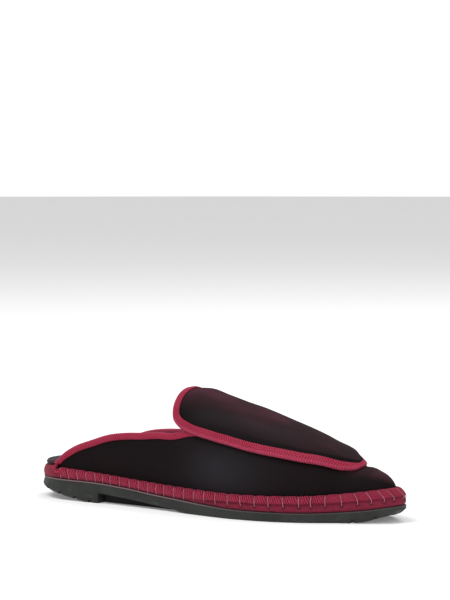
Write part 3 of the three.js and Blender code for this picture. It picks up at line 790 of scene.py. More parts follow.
@dataclass(frozen=True)
class Rubber:
    """Dark moulded rubber with a fine grain, a paler moulded lip, dusty scuffs and a near-black painted
    shadow on the hollowed waist.
    """

    name: str
    base: Colour = paint(43, 46, 43)
    dark: Colour = paint(29, 32, 29)
    # Near black of the painted shadow on the hollowed waist.
    web_shadow: Colour = paint(8, 9, 8)
    lip: Colour = paint(128, 100, 106)
    dust: Colour = paint(92, 94, 90)

    def material(self) -> bpy.types.Material:
        """Makes the material."""
        shading = Shading(self.name, Specular_IOR_Level=0.35)
        grain = shading.noise(0.5, 2)
        cloud = shading.noise(14, 3)
        scuff = shading.noise(3.2, 4, (0.35, 1, 1)).between(0.56, 0.74)
        speck = shading.noise(1.1, 2).between(0.7, 0.76)
        colour = shading.blend(cloud.between(0.3, 0.7), self.dark, self.base)
        colour = shading.blend(scuff * 0.3 * shading.mark("low") + speck * 0.3, colour, self.dust)
        colour = shading.blend(shading.mark("lip"), colour, self.lip)
        # Painted shadow, near black, on the hollowed waist's web and underside.
        colour = shading.blend(shading.mark("deep"), colour, self.web_shadow)
        relief = grain * 0.7 + cloud * 0.3
        return shading.dress(
            Base_Color=colour,
            Roughness=cloud * 0.15 + 0.5,
            Normal=shading.bump(relief, 0.12),
        )


@dataclass(frozen=True)
class Lining:
    """Plum-brown lining with a fine grain and handled patches."""

    name: str
    base: Colour = paint(66, 38, 47)
    dark: Colour = paint(40, 21, 27)
    wear_and_highlight: Colour = paint(112, 78, 84)

    def material(self) -> bpy.types.Material:
        """Makes the material."""
        shading = Shading(self.name, Specular_IOR_Level=0.3, Sheen_Weight=0.05)
        grain = shading.noise(0.8, 4)
        cloud = shading.noise(30, 3)
        colour = shading.blend(cloud.between(0.3, 0.7), self.dark, self.base)
        colour = shading.blend(grain.between(0.55, 0.75) * 0.35, colour, self.wear_and_highlight)
        return shading.dress(
            Base_Color=colour,
            Roughness=grain * 0.2 + 0.55,
            Normal=shading.bump(grain, 0.18),
        )


def origin() -> Array:
    """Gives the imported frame's origin in shoe millimetres, from the outsole's own box."""
    low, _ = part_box("outsole")
    return np.array([-low[0] * 1000, MIDDLE_LINE, 0.0])


def grid_faces(rows: int, columns: int, wrap: bool = False, start: int = 0) -> Array:
    """Gives the four-cornered faces of a grid of points.

    Args:
        rows: Number of rows of points.
        columns: Number of points in a row.
        wrap: Whether each row closes on itself.
        start: Number of the grid's first point.

    Returns:
        Faces as rows of four point numbers.
    """
    row = np.arange(rows - 1)[:, None] * columns
    column = np.arange(columns if wrap else columns - 1)[None, :]
    ahead = (column + 1) % columns
    corners = [row + column, row + columns + column, row + columns + ahead, row + ahead]
    return np.stack([corner + start for corner in corners], -1).reshape(-1, 4)


def cap_faces(first: int, count: int) -> Array:
    """Gives the faces that close the end of a sheet, whose points go out and come back."""
    i = np.arange(count // 2 - 1)
    return np.stack([i, i + 1, count - 2 - i, count - 1 - i], 1) + first


class Piece:
    """One mesh of the dressed shoe, made from points in shoe millimetres."""

    def __init__(
        self,
        name: str,
        points: Array,
        faces: Array,
        marks: Mapping[str, Array] | None = None,
    ) -> None:
        """Makes the mesh.

        Args:
            name: The piece's name.
            points: Its points, with their coordinates last.
            faces: Rows of four point numbers.
            marks: Numbers for each point that its finish reads.
        """
        flat = points.reshape(-1, 3)
        mesh = bpy.data.meshes.new(name)
        mesh.from_pydata(((flat - origin()) / 1000).tolist(), [], faces.tolist())
        for mark, values in (marks or {}).items():
            layer = mesh.attributes.new(mark, "FLOAT", "POINT")
            spread = np.broadcast_to(values, points.shape[:-1])
            layer.data.foreach_set("value", np.ascontiguousarray(spread, np.float32).ravel())
        shape = bmesh.new()
        shape.from_mesh(mesh)
        bmesh.ops.remove_doubles(shape, verts=shape.verts, dist=WELD)
        bmesh.ops.dissolve_degenerate(shape, edges=shape.edges, dist=SLIVER)
        bmesh.ops.recalc_face_normals(shape, faces=shape.faces)
        shape.to_mesh(mesh)
        shape.free()
        mesh.polygons.foreach_set("use_smooth", [True] * len(mesh.polygons))
        self.object = put(name, mesh)

    def dress(self, material: bpy.types.Material, slot: str, *nodes: str) -> "Piece":
        """Gives the piece its material, its body and the solids that it stands for."""
        self.object.data.materials.append(material)
        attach(self.object, "root")
        if nodes:
            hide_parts(*nodes)
        log.info("%s: %d faces", self.object.name, len(self.object.data.polygons))
        return self


@dataclass(frozen=True)
class Fold:
    """A soft trough or ridge on the skin of the last, in the shoe's own sizes."""

    x: float
    across: float
    heading: float
    length: float
    width: float
    rise: float

    def lift(self, x: Array, across: Array) -> Array:
        """Gives the fold's height at each place."""
        cos, sin = math.cos(math.radians(self.heading)), math.sin(math.radians(self.heading))
        along = (x - self.x) * cos + (across - self.across) * sin
        beside = (across - self.across) * cos - (x - self.x) * sin
        return self.rise * np.exp(-((along / self.length) ** 2) - (beside / self.width) ** 2)


@dataclass
class EdgeWalk:
    """A walk round the outline: from the heel along the outer side, round the toe and back."""

    last: Last
    start: float
    count: int
    share: Array = field(init=False)
    side: Array = field(init=False)
    run: Array = field(init=False)
    travel: Array = field(init=False)

    def __post_init__(self) -> None:
        """Places the stops and measures the distance along the edge."""
        shares = self.last.stations(self.count)
        first = self.start / self.last.sole_length
        shares = np.concatenate([[first], shares[shares > first + 1e-4]])
        self.share = np.concatenate([shares, shares[-2::-1]])
        self.side = np.concatenate([np.full(len(shares), -1), np.full(len(shares) - 1, 1)])
        self.run = running(self.last.edge_point(self.share, self.side, 0.0, 0.0))
        self.travel = np.where(self.side < 0, self.share, 2 - self.share)

    def runs(self, travel: Array) -> Array:
        """Gives the distance walked at each travel, from 0 at the heel to 1 at the toe and 2."""
        return np.interp(travel, self.travel, self.run)


# Places of the stitches along the shoe, wider apart toward the ball; the inner side repeats them
STITCH_PLACES = (
    27, 33.6, 40.5, 47.3, 54.1, 59.8, 65.7, 72.8, 80.3, 87.3, 94.6, 101.2, 107.2, 114.9, 122.7,
    130.6, 138.3, 146.7, 155.7, 164.1, 173.2, 181.5, 189.9, 198.4, 204.4, 211.4, 219.5, 227.6,
    234.6, 240.7, 244.9,
)


@dataclass(frozen=True)
class Stitching:
    """Blanket stitches over the tape, and the needle holes at their lower ends."""

    hole: float = 0.8
    lean: float = 2.3
    end_gap: float = 6.6

    def lean_back(self, share: Array) -> Array:
        """Gives how far back the upper end of a stitch lies from its lower end."""
        return self.lean * (1 - 0.85 * smooth(share, 0.76, 0.92))

    def travels(self, last: Last) -> Array:
        """Gives the travel of each stitch, from 0 at the heel to 1 at the toe and back to 2."""
        outer = np.array(STITCH_PLACES) / last.sole_length
        return np.concatenate([outer, [1.0], 2 - outer[::-1]])

    def cell(self, walk: EdgeWalk, part: Array) -> tuple[Array, Array]:
        """Gives places between two stitches and distances to the nearest stitch.

        Args:
            walk: The walk round the outline.
            part: 0 at the stitches' lower ends and 1 at their upper ends.

        Returns:
            The place from 0 to 1, and the distance, for each stop and part.
        """
        places = walk.runs(self.travels(walk.last))
        bounds = np.concatenate([[places[0] - self.end_gap], places, [places[-1] + self.end_gap]])
        run = walk.run[:, None] - (walk.side * self.lean_back(walk.share))[:, None] * part
        i = np.clip(np.searchsorted(bounds, run, side="right") - 1, 0, len(bounds) - 2)
        pitch = bounds[i + 1] - bounds[i]
        cell = np.clip((run - bounds[i]) / pitch, 0, 1)
        return cell, np.minimum(cell, 1 - cell) * pitch


@dataclass(frozen=True)
class Sole:
    """The moulded rubber sole: heel block, hollowed waist, forefoot, heel and toe grooves."""

    last: Last
    groove_radius: float = 1.35
    groove_depth: float = 1.7
    groove_pitch: float = 11.3
    heel_groove: float = 15
    heel_margin: float = 1.8
    toe_groove: float = 225.4
    toe_margin: float = 10
    edge_round: float = 1.3
    heel_flare: float = 1.0
    lip_height: float = 0.75
    lip_reach: float = 0.18
    wall_start: float = 2.0
    least_wall: float = 2.2
    tread_set_in: float = 2.2
    web_slant: float = 0.3

    def grooves(self) -> Array:
        """Gives the places of the cross grooves."""
        heel_end = self.last.heel_block - self.heel_margin
        heel = np.arange(self.heel_groove, heel_end, self.groove_pitch)
        end = self.last.sole_length - self.toe_margin
        return np.concatenate([heel, np.arange(self.toe_groove, end, self.groove_pitch)])

    def shares(self) -> Array:
        """Gives stations along the sole, close together at grooves and corners."""
        waist_end = self.last.heel_block + self.last.waist_length
        places = [self.last.stations(210) * self.last.sole_length]
        turn = np.sin(np.linspace(-1, 1, 11) * QUARTER_TURN) * (self.groove_radius + 0.02)
        places += [groove + turn for groove in self.grooves()]
        places.append(np.linspace(self.last.heel_block - 0.3, self.last.heel_block + 1.4, 9))
        places.append(np.linspace(waist_end, waist_end + self.last.waist_run_out, 16))
        x = np.unique(np.round(np.concatenate(places), 3))
        keep = np.concatenate([[True], np.diff(x) > 0.05])
        keep[-1] = True
        return np.clip(x[keep] / self.last.sole_length, 0, 1)

    def tread(self, share: Array) -> Array:
        """Gives the height of the underside, with its grooves."""
        x = share[:, None] * self.last.sole_length
        reach = np.clip(np.abs(x - self.grooves()) / self.groove_radius, 0, 1)
        return self.last.underside(share) + (self.groove_depth * np.sqrt(1 - reach**2)).max(1)

    def half(self, share: Array, side: int) -> list[tuple[Array, ...]]:
        """Gives the lines of points down one side, from the top to the foot of the web.

        Args:
            share: Shares of the length from heel to toe.
            side: -1 on the outer side and 1 on the inner side.

        Returns:
            Each line's points, and its marks for the pale lip, the scuffs and the painted shadow on the
            hollowed waist.
        """
        none, full = np.zeros_like(share), np.ones_like(share)
        top, low = self.last.rubber_edge(share), self.tread(share)
        hollow = self.last.hollowed(share)
        pale = 1 - 0.8 * smooth(share, 0.42, 0.72)
        flare = self.heel_flare * (1 - smooth(share, 0.02, 0.2))
        edge = self.lip_reach * 0.4
        lines = [(0.45, top, none, none, none), (0.03, top, none, none, none)]
        for set_in, drop in ((-edge, 0.2), (-self.lip_reach, 0.42), (-edge, 0.66)):
            lines.append((set_in, top - drop, pale, none, none))
        for set_in, drop in ((0.1, self.lip_height), (0.05, 1.2), (0.0, self.wall_start)):
            lines.append((set_in, top - drop, none, none, none))
        round_off = np.minimum(self.edge_round, (top - low - self.least_wall) * 0.8)
        for part in (0.35, 0.7, 1.0):
            height = mix(top - self.wall_start, low + round_off, part)
            lines.append(((0.25 - flare) * part + 0.05, height, none, full * part, none))
        for turn in (0.25, 0.5, 0.75, 1.0):
            set_in = 0.3 - flare + round_off * (1 - math.cos(turn * QUARTER_TURN))
            height = low + round_off * (1 - math.sin(turn * QUARTER_TURN))
            lines.append((set_in, height, none, full, none))
        web = mix(self.tread_set_in, self.last.web_set_in, hollow)
        web_foot = np.where(hollow > 0, np.minimum(low, self.last.web_lift), low)
        lines.append((web, low, none, full, hollow))
        lines.append((web + self.web_slant, web_foot, none, full, hollow))
        return [
            (self.last.edge_point(share, side, set_in, height), *marks)
            for set_in, height, *marks in lines
        ]

    def build(self) -> Piece:
        """Makes the sole as one closed loop of points for each station."""
        share = self.shares()
        none, full = np.zeros_like(share), np.ones_like(share)
        hollow = self.last.hollowed(share)
        outer, inner = self.half(share, -1), self.half(share, 1)
        across = np.linspace(0, 1, 14)[1:-1]
        under = [(mix(outer[-1][0], inner[-1][0], part), none, full, hollow) for part in across]
        upper = [(mix(inner[0][0], outer[0][0], part), none, none, none) for part in across]
        lines = zip(*outer, *under, *inner[::-1], *upper)
        points, lip, low, deep = (np.stack(line, 1) for line in lines)
        faces = grid_faces(len(share), points.shape[1], wrap=True)
        # The deep mark lays a painted shadow on the hollowed waist.
        sole = Piece("rubber_sole", points, faces, {"lip": lip, "low": low, "deep": deep})
        return sole.dress(Rubber("moulded_rubber").material(), "rubber", "outsole")


@dataclass(frozen=True)
class Band:
    """The cloth-covered band, plain round the heel, and the stitched tape laid over it."""

    last: Last
    stitching: Stitching = Stitching()
    puff: float = 0.7
    pinch: float = 0.4
    raise_front: float = 0.06
    thread_radius: float = 0.24
    bulge_behind: float = 0.45
    bulge_in_front: float = 0.75
    heel_bulge: float = 0.15
    foot_tuck: float = 0.45
    hole_depth: float = 0.6
    hole_drop: float = 1.5
    cover: float = 9
    scallop_low: float = 0.91
    scallop_rise: float = 0.12
    thin_low: float = 0.5
    thin_high: float = 0.4
    dent: float = 0.5
    stitch_reach: float = 0.93
    bridge_sink: float = 0.22

    def front(self, share: Array) -> Array:
        """Gives how far the band shows under the tape, from 0 at the heel to 1 in front."""
        return smooth(share, 0.5, 0.68)

    def cloth(self) -> Piece:
        """Makes the band, with a dent at each needle hole of its bare lower part."""
        walk = EdgeWalk(self.last, 0.0, 460)
        share, side = walk.share[:, None], walk.side[:, None]
        foot = self.last.rubber_edge(share) + 0.06
        drop = self.last.shoulder_drop * self.last.drop_share(share)
        upright = np.maximum(0.4, self.last.midsole_top(share) - drop - foot)
        rows = np.linspace(0, 1, 13)[None, :]
        heel = 1 - self.last.taped(share)
        full = mix(self.bulge_behind, self.bulge_in_front, smooth(share, 0.5, 0.9))
        bulge = np.sin(rows * math.pi) * full + self.heel_bulge * heel
        tuck = self.foot_tuck * (1 - smooth(rows, 0, 0.12))
        _, nearest = self.stitching.cell(walk, np.zeros((1, 1)))
        wanted = self.tape_low(share) - self.hole_drop - foot
        away = np.hypot(nearest, (upright * rows - wanted) * 0.9)
        holes = np.exp(-((away / self.stitching.hole) ** 2)) * self.front(share)
        set_in = self.last.side_set_in(share) - bulge + tuck + holes * self.hole_depth
        wall = self.last.edge_point(share, side, set_in, foot + upright * rows)
        turns = np.linspace(0, 1, 9)[None, 1:]
        crown = self.last.shoulder_point(share, side, turns, 0.0)
        covered = self.last.shoulder(share) + self.cover
        inside = self.last.edge_point(share, side, covered, crown[:, -1:, 2])
        points = np.concatenate([wall, crown, inside], 1)
        plain = np.zeros((len(walk.run), points.shape[1] - rows.size))
        marks = {
            "along": walk.run[:, None],
            "across": running(points, 1),
            "heel": heel,
            "hole": np.concatenate([holes, plain], 1),
        }
        faces = grid_faces(len(walk.run), points.shape[1])
        cloth = Piece("cloth_band", points, faces, marks)
        return cloth.dress(BandCloth("band_cloth").material(), "band_cloth", "midsole")

    def tape_low(self, share: Array) -> Array:
        """Gives the height of the tape's lower edge."""
        drop = self.last.shoulder_drop * self.last.drop_share(share)
        skirt = self.last.band_height * self.last.skirt_share(share)
        raised = drop * math.sin(self.raise_front * QUARTER_TURN) * self.front(share)
        return self.last.midsole_top(share) - drop - skirt + raised

    def tape_point(self, share: Array, side: Array, part: Array, lift: Array) -> Array:
        """Gives points on the tape.

        Args:
            share: Shares of the length from heel to toe.
            side: -1 on the outer side and 1 on the inner side.
            part: 0 at the tape's lower edge and 1 at its upper edge.
            lift: Distance outward from the band.

        Returns:
            The points, with their coordinates last.
        """
        front = self.front(share)
        skirt = self.last.band_height * self.last.skirt_share(share) * (1 - front)
        drop = self.last.shoulder_drop * self.last.drop_share(share)
        reach = self.last.shoulder(share) - self.last.side_set_in(share)
        arc = QUARTER_TURN * (drop + reach + 2 * self.last.tape_lift) / 2
        fold = skirt / (skirt + arc)
        first = self.raise_front * front
        turn = np.clip((part - fold) / (1 - fold), 0, 1.2) * (self.last.tape_wrap - first) + first
        points = self.last.shoulder_point(share, side, turn, lift)
        points[..., 2] -= skirt * np.clip(1 - part / np.maximum(fold, 1e-6), 0, 1)
        return points

    def swell(self, cell: Array) -> Array:
        """Gives the fullness of a puff, from 0 at a stitch to 1 between two."""
        return 1 - np.abs(2 * cell - 1) ** 3

    def scallop(self, cell: Array) -> Array:
        """Gives the reach of the tape's upper edge, drawn back at each stitch."""
        return self.scallop_low + self.scallop_rise * self.swell(cell)

    def tape_grow(self, cell: Array, part: Array) -> Array:
        """Gives the puff of the tape over its own lift, between the stitches."""
        swell = self.swell(cell)
        round_over = np.sin(np.clip(part, 0, 1) * math.pi) ** 0.6
        return (self.puff * swell - self.pinch * (1 - swell)) * round_over

    def tape(self) -> Piece:
        """Makes the tape with its puffs, a scalloped upper edge and a dent at each hole."""
        walk = EdgeWalk(self.last, self.last.tape_start, 900)
        share, side = walk.share[:, None], walk.side[:, None]
        part = np.linspace(0, 1, 21)[None, :]
        cell, nearest = self.stitching.cell(walk, part)
        hole = np.exp(-((nearest / self.stitching.hole) ** 2) - (part * 7 / 1.3) ** 2)
        top = np.exp(-((nearest / 0.7) ** 2) - ((part - 1) * 7 / 0.7) ** 2)
        hole = np.maximum(hole * (1 - self.front(share)), top * 0.85)
        edges = self.thin_low * (1 - smooth(part, 0, 0.1)) + self.thin_high * smooth(part, 0.88, 1)
        lift = self.last.tape_lift + self.tape_grow(cell, part) - edges - hole * self.dent
        face = self.tape_point(share, side, part * self.scallop(cell), lift)
        hidden = np.linspace(1, 0, 7)[None, :]
        behind_cell, _ = self.stitching.cell(walk, hidden)
        behind = self.tape_point(share, side, hidden * self.scallop(behind_cell), CLEARANCE)
        points = np.concatenate([face, behind], 1)
        quiet = np.zeros((len(walk.run), hidden.shape[1]))
        # Painted shade: darker near each stitch and along the tape's lower edge.
        crease_shade = np.exp(-((nearest / 0.8) ** 2)) * 0.55 + 0.5 * (1 - smooth(part, 0, 0.14))
        marks = {
            "along": walk.run[:, None],
            "across": running(points, 1),
            "crease_shade": np.concatenate([np.clip(crease_shade, 0, 1), quiet], 1),
            "hole": np.concatenate([hole, quiet], 1),
        }
        faces = grid_faces(len(walk.run), points.shape[1], wrap=True)
        ends = points.shape[1]
        last_row = (len(walk.run) - 1) * ends
        faces = np.concatenate([faces, cap_faces(0, ends), cap_faces(last_row, ends)])
        tape = Piece("stitched_tape", points, faces, marks)
        return tape.dress(Tape("ribbed_tape").material(), "ribbon", "seam_tape")

    def upright(self, travel: float) -> Array:
        """Gives the line of one upright stitch, from its lower end to the tape's upper edge."""
        side = -1 if travel <= 1 else 1
        share = float(min(travel, 2 - travel))
        part = np.linspace(0.02, 1.0, 14)
        lift = self.last.tape_lift + self.tape_grow(np.zeros(14), part) + 0.1
        lift = lift - 0.35 * smooth(part, 0.9, 1)
        back = float(self.stitching.lean_back(np.array(share))) / self.last.sole_length
        place = share - back * part * (travel != 1)
        over = self.tape_point(place, side, part * self.stitch_reach, lift)
        if float(self.front(np.array(share))) <= 0.5:
            return np.concatenate([over[:1] - np.array([[0, 0, 0.25]]), over])
        low = float(self.tape_low(np.array(share)))
        set_in = float(self.last.side_set_in(np.array(share)))
        depths = np.array([self.hole_drop, 1.2, 0.5])
        grow = np.array([0.0, 0.5, 0.95]) * (0.25 if travel == 1 else 1)
        below = self.last.edge_point(np.full(3, share), side, set_in - grow, low - depths)
        return np.concatenate([below, over])

    def bridge(self, first: float, second: float) -> Array:
        """Gives the line of the thread along the upper edge, from one stitch to the next."""
        cell = np.linspace(0, 1, 13)
        travel = mix(first, second, cell)
        side = np.where(travel <= 1, -1, 1)
        share = np.minimum(travel, 2 - travel)
        share = share - self.stitching.lean_back(share) / self.last.sole_length
        lift = self.last.tape_lift - self.bridge_sink + 0.12 * self.swell(cell)
        return self.tape_point(share, side, self.scallop(cell) + 0.01, lift)

    def threads(self) -> list[Piece]:
        """Makes the upright stitches and the thread that joins them along the upper edge."""
        travels = self.stitching.travels(self.last)
        upright = [self.upright(travel) for travel in travels]
        light = tubes("stitches", upright, self.thread_radius)
        light.dress(Thread("pink_thread").material(), "ribbon")
        bridges = [self.bridge(*pair) for pair in zip(travels[:-1], travels[1:])]
        edge = tubes("edge_thread", bridges, self.thread_radius * 0.95)
        finish = Thread("edge_thread", paint(150, 48, 76), paint(92, 16, 40))
        edge.dress(finish.material(), "ribbon")
        return [light, edge]


def tubes(name: str, lines: Sequence[Array], radius: float, sides: int = 8) -> Piece:
    """Makes one piece of round threads, each along its own line.

    Args:
        name: The piece's name.
        lines: The points that each thread follows.
        radius: The thread's radius.
        sides: Points round the thread.

    Returns:
        The piece.
    """
    points, faces, along, across = [], [], [], []
    start = 0
    turn = np.linspace(0, 2 * math.pi, sides, endpoint=False)
    for line in lines:
        ahead = np.gradient(line, axis=0)
        ahead /= np.linalg.norm(ahead, axis=1, keepdims=True)
        up = np.tile([0.13, 0.21, 1.0], (len(line), 1))
        level = np.abs(ahead[:, 2:3]) > 0.9
        up = np.where(level, np.array([[0.97, 0.2, 0.1]]), up)
        beside = np.cross(ahead, up)
        beside /= np.linalg.norm(beside, axis=1, keepdims=True)
        for i in range(1, len(beside)):
            carried = beside[i - 1] - ahead[i] * (beside[i - 1] @ ahead[i])
            beside[i] = carried / np.linalg.norm(carried)
        over = np.cross(beside, ahead)
        taper = np.ones((len(line), 1, 1))
        taper[0] = taper[-1] = 0.55
        ring = np.cos(turn)[None, :, None] * beside[:, None] + np.sin(turn)[None, :, None] * over[:, None]
        points.append((line[:, None] + ring * radius * taper).reshape(-1, 3))
        faces.append(grid_faces(len(line), sides, wrap=True, start=start))
        along.append(np.repeat(running(line), sides))
        across.append(np.tile(turn * radius, len(line)))
        start += len(line) * sides
    marks = {"along": np.concatenate(along), "across": np.concatenate(across)}
    return Piece(name, np.concatenate(points), np.concatenate(faces), marks)


@dataclass(frozen=True)
class Footbed:
    """The padded insole, bare of any print."""

    last: Last
    thickness: float = 2.6
    round_off: float = 1.5
    heel_set_in: float = 1.4
    inside: float = 3.8
    dish: float = 0.9

    def set_in(self, share: Array) -> Array:
        """Gives how far the footbed's edge stands inside the sole's edge."""
        within = self.last.shoulder(share) + self.inside
        start = self.last.quarter_start / self.last.sole_length
        return mix(self.heel_set_in, within, smooth(share, start * 0.45, start * 0.9))

    def build(self) -> Piece:
        """Makes the footbed with a rounded edge and a softly dished heel."""
        share = self.last.stations(200)
        foot = self.last.midsole_top(share) + CLEARANCE
        columns = []
        for side in (-1, 1):
            column = [self.last.edge_point(share, side, self.set_in(share) + 0.6, foot)]
            for turn in np.linspace(0, 1, 7):
                angle = turn * QUARTER_TURN
                set_in = self.set_in(share) + self.round_off * (1 - math.cos(angle))
                low = self.thickness - self.round_off
                height = foot + low + self.round_off * math.sin(angle)
                column.append(self.last.edge_point(share, side, set_in, height))
            columns.append(column)
        parts = np.linspace(0, 1, 26)[1:-1]
        upper = []
        for part in parts:
            row = mix(columns[0][-1], columns[1][-1], part)
            row[:, 2] -= self.dish * math.sin(part * math.pi) ** 1.2 * smooth(share, 0.02, 0.1)
            upper.append(row)
        under = [mix(columns[1][0], columns[0][0], part) for part in parts[::4]]
        loop = [*columns[0], *upper, *columns[1][::-1], *under]
        faces = grid_faces(len(share), len(loop), wrap=True)
        bed = Piece("padded_footbed", np.stack(loop, 1), faces)
        return bed.dress(Lining("footbed_lining").material(), "lining", "insole")


UPPER_FOLDS = (
    Fold(150, -46, 8, 34, 9, -0.5),
    Fold(128, -58, 20, 24, 8, 0.45),
    Fold(196, -30, -24, 20, 6, -0.45),
    Fold(214, -12, 60, 11, 5, -0.35),
    Fold(205, 24, 24, 18, 6, -0.45),
    Fold(150, 46, -8, 34, 9, -0.5),
    Fold(72, -62, 12, 26, 8, 0.4),
)
APRON_FOLDS = (
    Fold(128, -8, 6, 26, 7, -0.55),
    Fold(150, 10, -10, 30, 8, 0.45),
    Fold(178, -10, 14, 22, 6, -0.4),
    Fold(200, 6, -60, 9, 5, -0.35),
)


@dataclass(frozen=True)
class Upper:
    """The velvet upper: quarters, throat, vamp and nose, with a lining inside."""

    last: Last
    wall: float = 2.0
    rows: int = 44
    plain_from: float = 232
    plain_to: float = 244
    # Place and spread of a painted grey highlight on the quarters' velvet.
    highlight_place: float = 146
    highlight_length: float = 26
    highlight_height: float = 27
    highlight_spread: float = 16.2

    def places(self) -> Array:
        """Gives the stations along the upper."""
        vamp_end = self.last.sole_length * (1 - self.last.toe_round)
        vamp = np.linspace(self.last.throat_end, vamp_end, 91)
        turn = np.sin(np.linspace(0, QUARTER_TURN, 45))
        nose = vamp_end + (self.last.sole_length - vamp_end) * turn
        return np.concatenate([self.last.collar_places(91, 1.4, 41), vamp[1:], nose[1:]])

    def build(self) -> Piece:
        """Makes the upper as a wall with velvet outside and lining inside."""
        x = self.places()
        step = np.linspace(0, 1, self.rows)[None, :]
        points, faces, inside, painted_highlight = [], [], [], []
        start = 0
        for side in Side:
            rim = self.last.rim_run(x, side)[:, None]
            total = self.last.girth_total(x, side)[:, None]
            across = side.value * np.maximum(1e-6, mix(rim, total, step))
            lift = sum(fold.lift(x[:, None], across) for fold in UPPER_FOLDS)
            fade = smooth(total - np.abs(across), 0, 8)
            nose = 1 - smooth(x, self.plain_from, self.plain_to)[:, None]
            face = self.last.on_skin(x[:, None] + 0 * across, across, lift * fade * nose)
            back = self.last.on_skin(x[:, None] + 0 * across, across, -self.wall + 0 * across)
            section = np.concatenate([face, back[:, ::-1]], 1)
            sheet = grid_faces(len(x), section.shape[1], wrap=True, start=start)
            column = (sheet[:, 0] - start) % section.shape[1]
            row = (sheet[:, 0] - start) // section.shape[1]
            closing = (column == section.shape[1] - 1) & (rim[row, 0] <= 0)
            faces.append(sheet[~closing])
            inside.append(np.tile(np.repeat([0.0, 1.0], self.rows), len(x)))
            # Painted grey highlight on the outer face of both quarters, round a place along the shoe and
            # a height.
            away = (x[:, None] - self.highlight_place) / self.highlight_length
            above = (face[..., 2] - self.highlight_height) / self.highlight_spread
            glow = np.exp(-(away**2) - above**2)
            painted_highlight.append(np.concatenate([glow, 0 * glow], 1).ravel())
            points.append(section.reshape(-1, 3))
            faces.append(cap_faces(start, 2 * self.rows))
            start += section.shape[0] * section.shape[1]
        marks = {"inside": np.concatenate(inside), "painted_highlight": np.concatenate(painted_highlight)}
        upper = Piece("velvet_upper", np.concatenate(points), np.concatenate(faces), marks)
        upper.dress(Velvet("velvet_pile").material(), "velvet", "upper")
        self.line(upper)
        return upper

    def line(self, upper: Piece) -> None:
        """Gives the faces inside the wall the lining's material."""
        mesh = upper.object.data
        mesh.materials.append(Lining("upper_lining", paint(38, 25, 30), paint(22, 14, 17)).material())
        mark = np.zeros(len(mesh.vertices), np.float32)
        mesh.attributes["inside"].data.foreach_get("value", mark)
        for face in mesh.polygons:
            face.material_index = int(min(mark[corner] for corner in face.vertices) > 0.5)


@dataclass(frozen=True)
class Apron:
    """The raised velvet apron, padded over its bound edge."""

    last: Last
    lift: float = 2.6
    thickness: float = 1.2
    binding: float = 4
    front_start: float = 150
    front_end: float = 215
    swell_behind: float = 0.6
    swell_in_front: float = 1.9
    pressed_from: float = 203
    pressed_to: float = 225
    pressed_depth: float = 1.5
    # Place, drift and width of a painted highlight band on the apron's velvet.
    highlight_across: float = -20
    highlight_drift: float = 0.12
    highlight_width: float = 6

    def bulge(self, x: Array, across: Array, half: Array) -> Array:
        """Gives how far the velvet swells over its bound edge."""
        end = self.last.apron_start + self.last.apron_length
        beside = half - np.abs(across)
        ahead = end - x
        behind = x - self.last.apron_start
        room = np.minimum(np.minimum(beside, ahead), behind)
        front = smooth(x, self.front_start, self.front_end)
        first = self.binding * mix(0.8, 0.45, front)
        full = self.binding * mix(2.2, 1.4, front)
        return smooth(room, first, full) * mix(self.swell_behind, self.swell_in_front, front)

    def sink(self, x: Array) -> Array:
        """Gives how far the tip is pressed down onto the vamp."""
        return self.pressed_depth * smooth(x, self.pressed_from, self.pressed_to)

    def build(self) -> Piece:
        """Makes the apron as a soft sheet of real thickness."""
        x = self.last.apron_stations(40, 120, 40)
        half = self.last.apron_half(x)[:, None]
        across = half * np.linspace(-1, 1, 97)[None, :]
        place = self.last.apron_x(x[:, None], across)
        folds = sum(fold.lift(place, across) for fold in APRON_FOLDS)
        swell = self.bulge(x[:, None], across, half)
        lift = self.lift - self.sink(place)
        face = self.last.on_skin(place, across, lift + swell + folds * np.clip(swell, 0, 1))
        back = self.last.on_skin(place, across, lift - self.thickness)
        points = np.concatenate([face, back[:, ::-1]], 1)
        faces = grid_faces(len(x), points.shape[1], wrap=True)
        beside = np.concatenate([across, across[:, ::-1]], 1)
        # Painted highlight: a soft band along the apron's outer slope.
        middle = self.highlight_across + (x[:, None] - self.front_start) * self.highlight_drift
        band = np.exp(-(((beside - middle) / self.highlight_width) ** 2))
        along = smooth(x, 112, 130) * (1 - smooth(x, 165, 205))
        apron = Piece("velvet_apron", points, faces, {"painted_highlight": band * along[:, None] * 0.5})
        return apron.dress(Velvet("apron_pile").material(), "velvet", "apron")


@dataclass
class Edge:
    """One bound edge, stop by stop, as a ribbon folds over it."""

    name: str
    node: str
    x: Array
    across: Array
    leaf: Array
    hand: int
    closed: bool
    lift: Array
    sheet: float
    kept_out: Array

    def inward(self) -> Array:
        """Gives the direction into the sheet at each stop."""
        stops = np.stack([self.x, self.across], 1)
        if self.closed:
            around = np.concatenate([stops[-2:-1], stops, stops[1:2]])
            ahead = around[2:] - around[:-2]
        else:
            ahead = np.gradient(stops, axis=0)
        ahead = ahead / np.linalg.norm(ahead, axis=1, keepdims=True)
        return np.stack([-ahead[:, 1] * self.hand, ahead[:, 0] * self.hand], 1)


# Place along the shoe, part of the way up the tape, lift over the tape's foot
TAIL_ROWS = (
    (19.6, 1.16, 1.6), (19.8, 1.02, 1.8), (20.2, 0.88, 2), (20.8, 0.74, 2.1), (21.6, 0.6, 2.1),
    (22.8, 0.49, 2), (24.4, 0.44, 1.9), (26, 0.47, 1.6), (27.4, 0.56, 1.1),
)


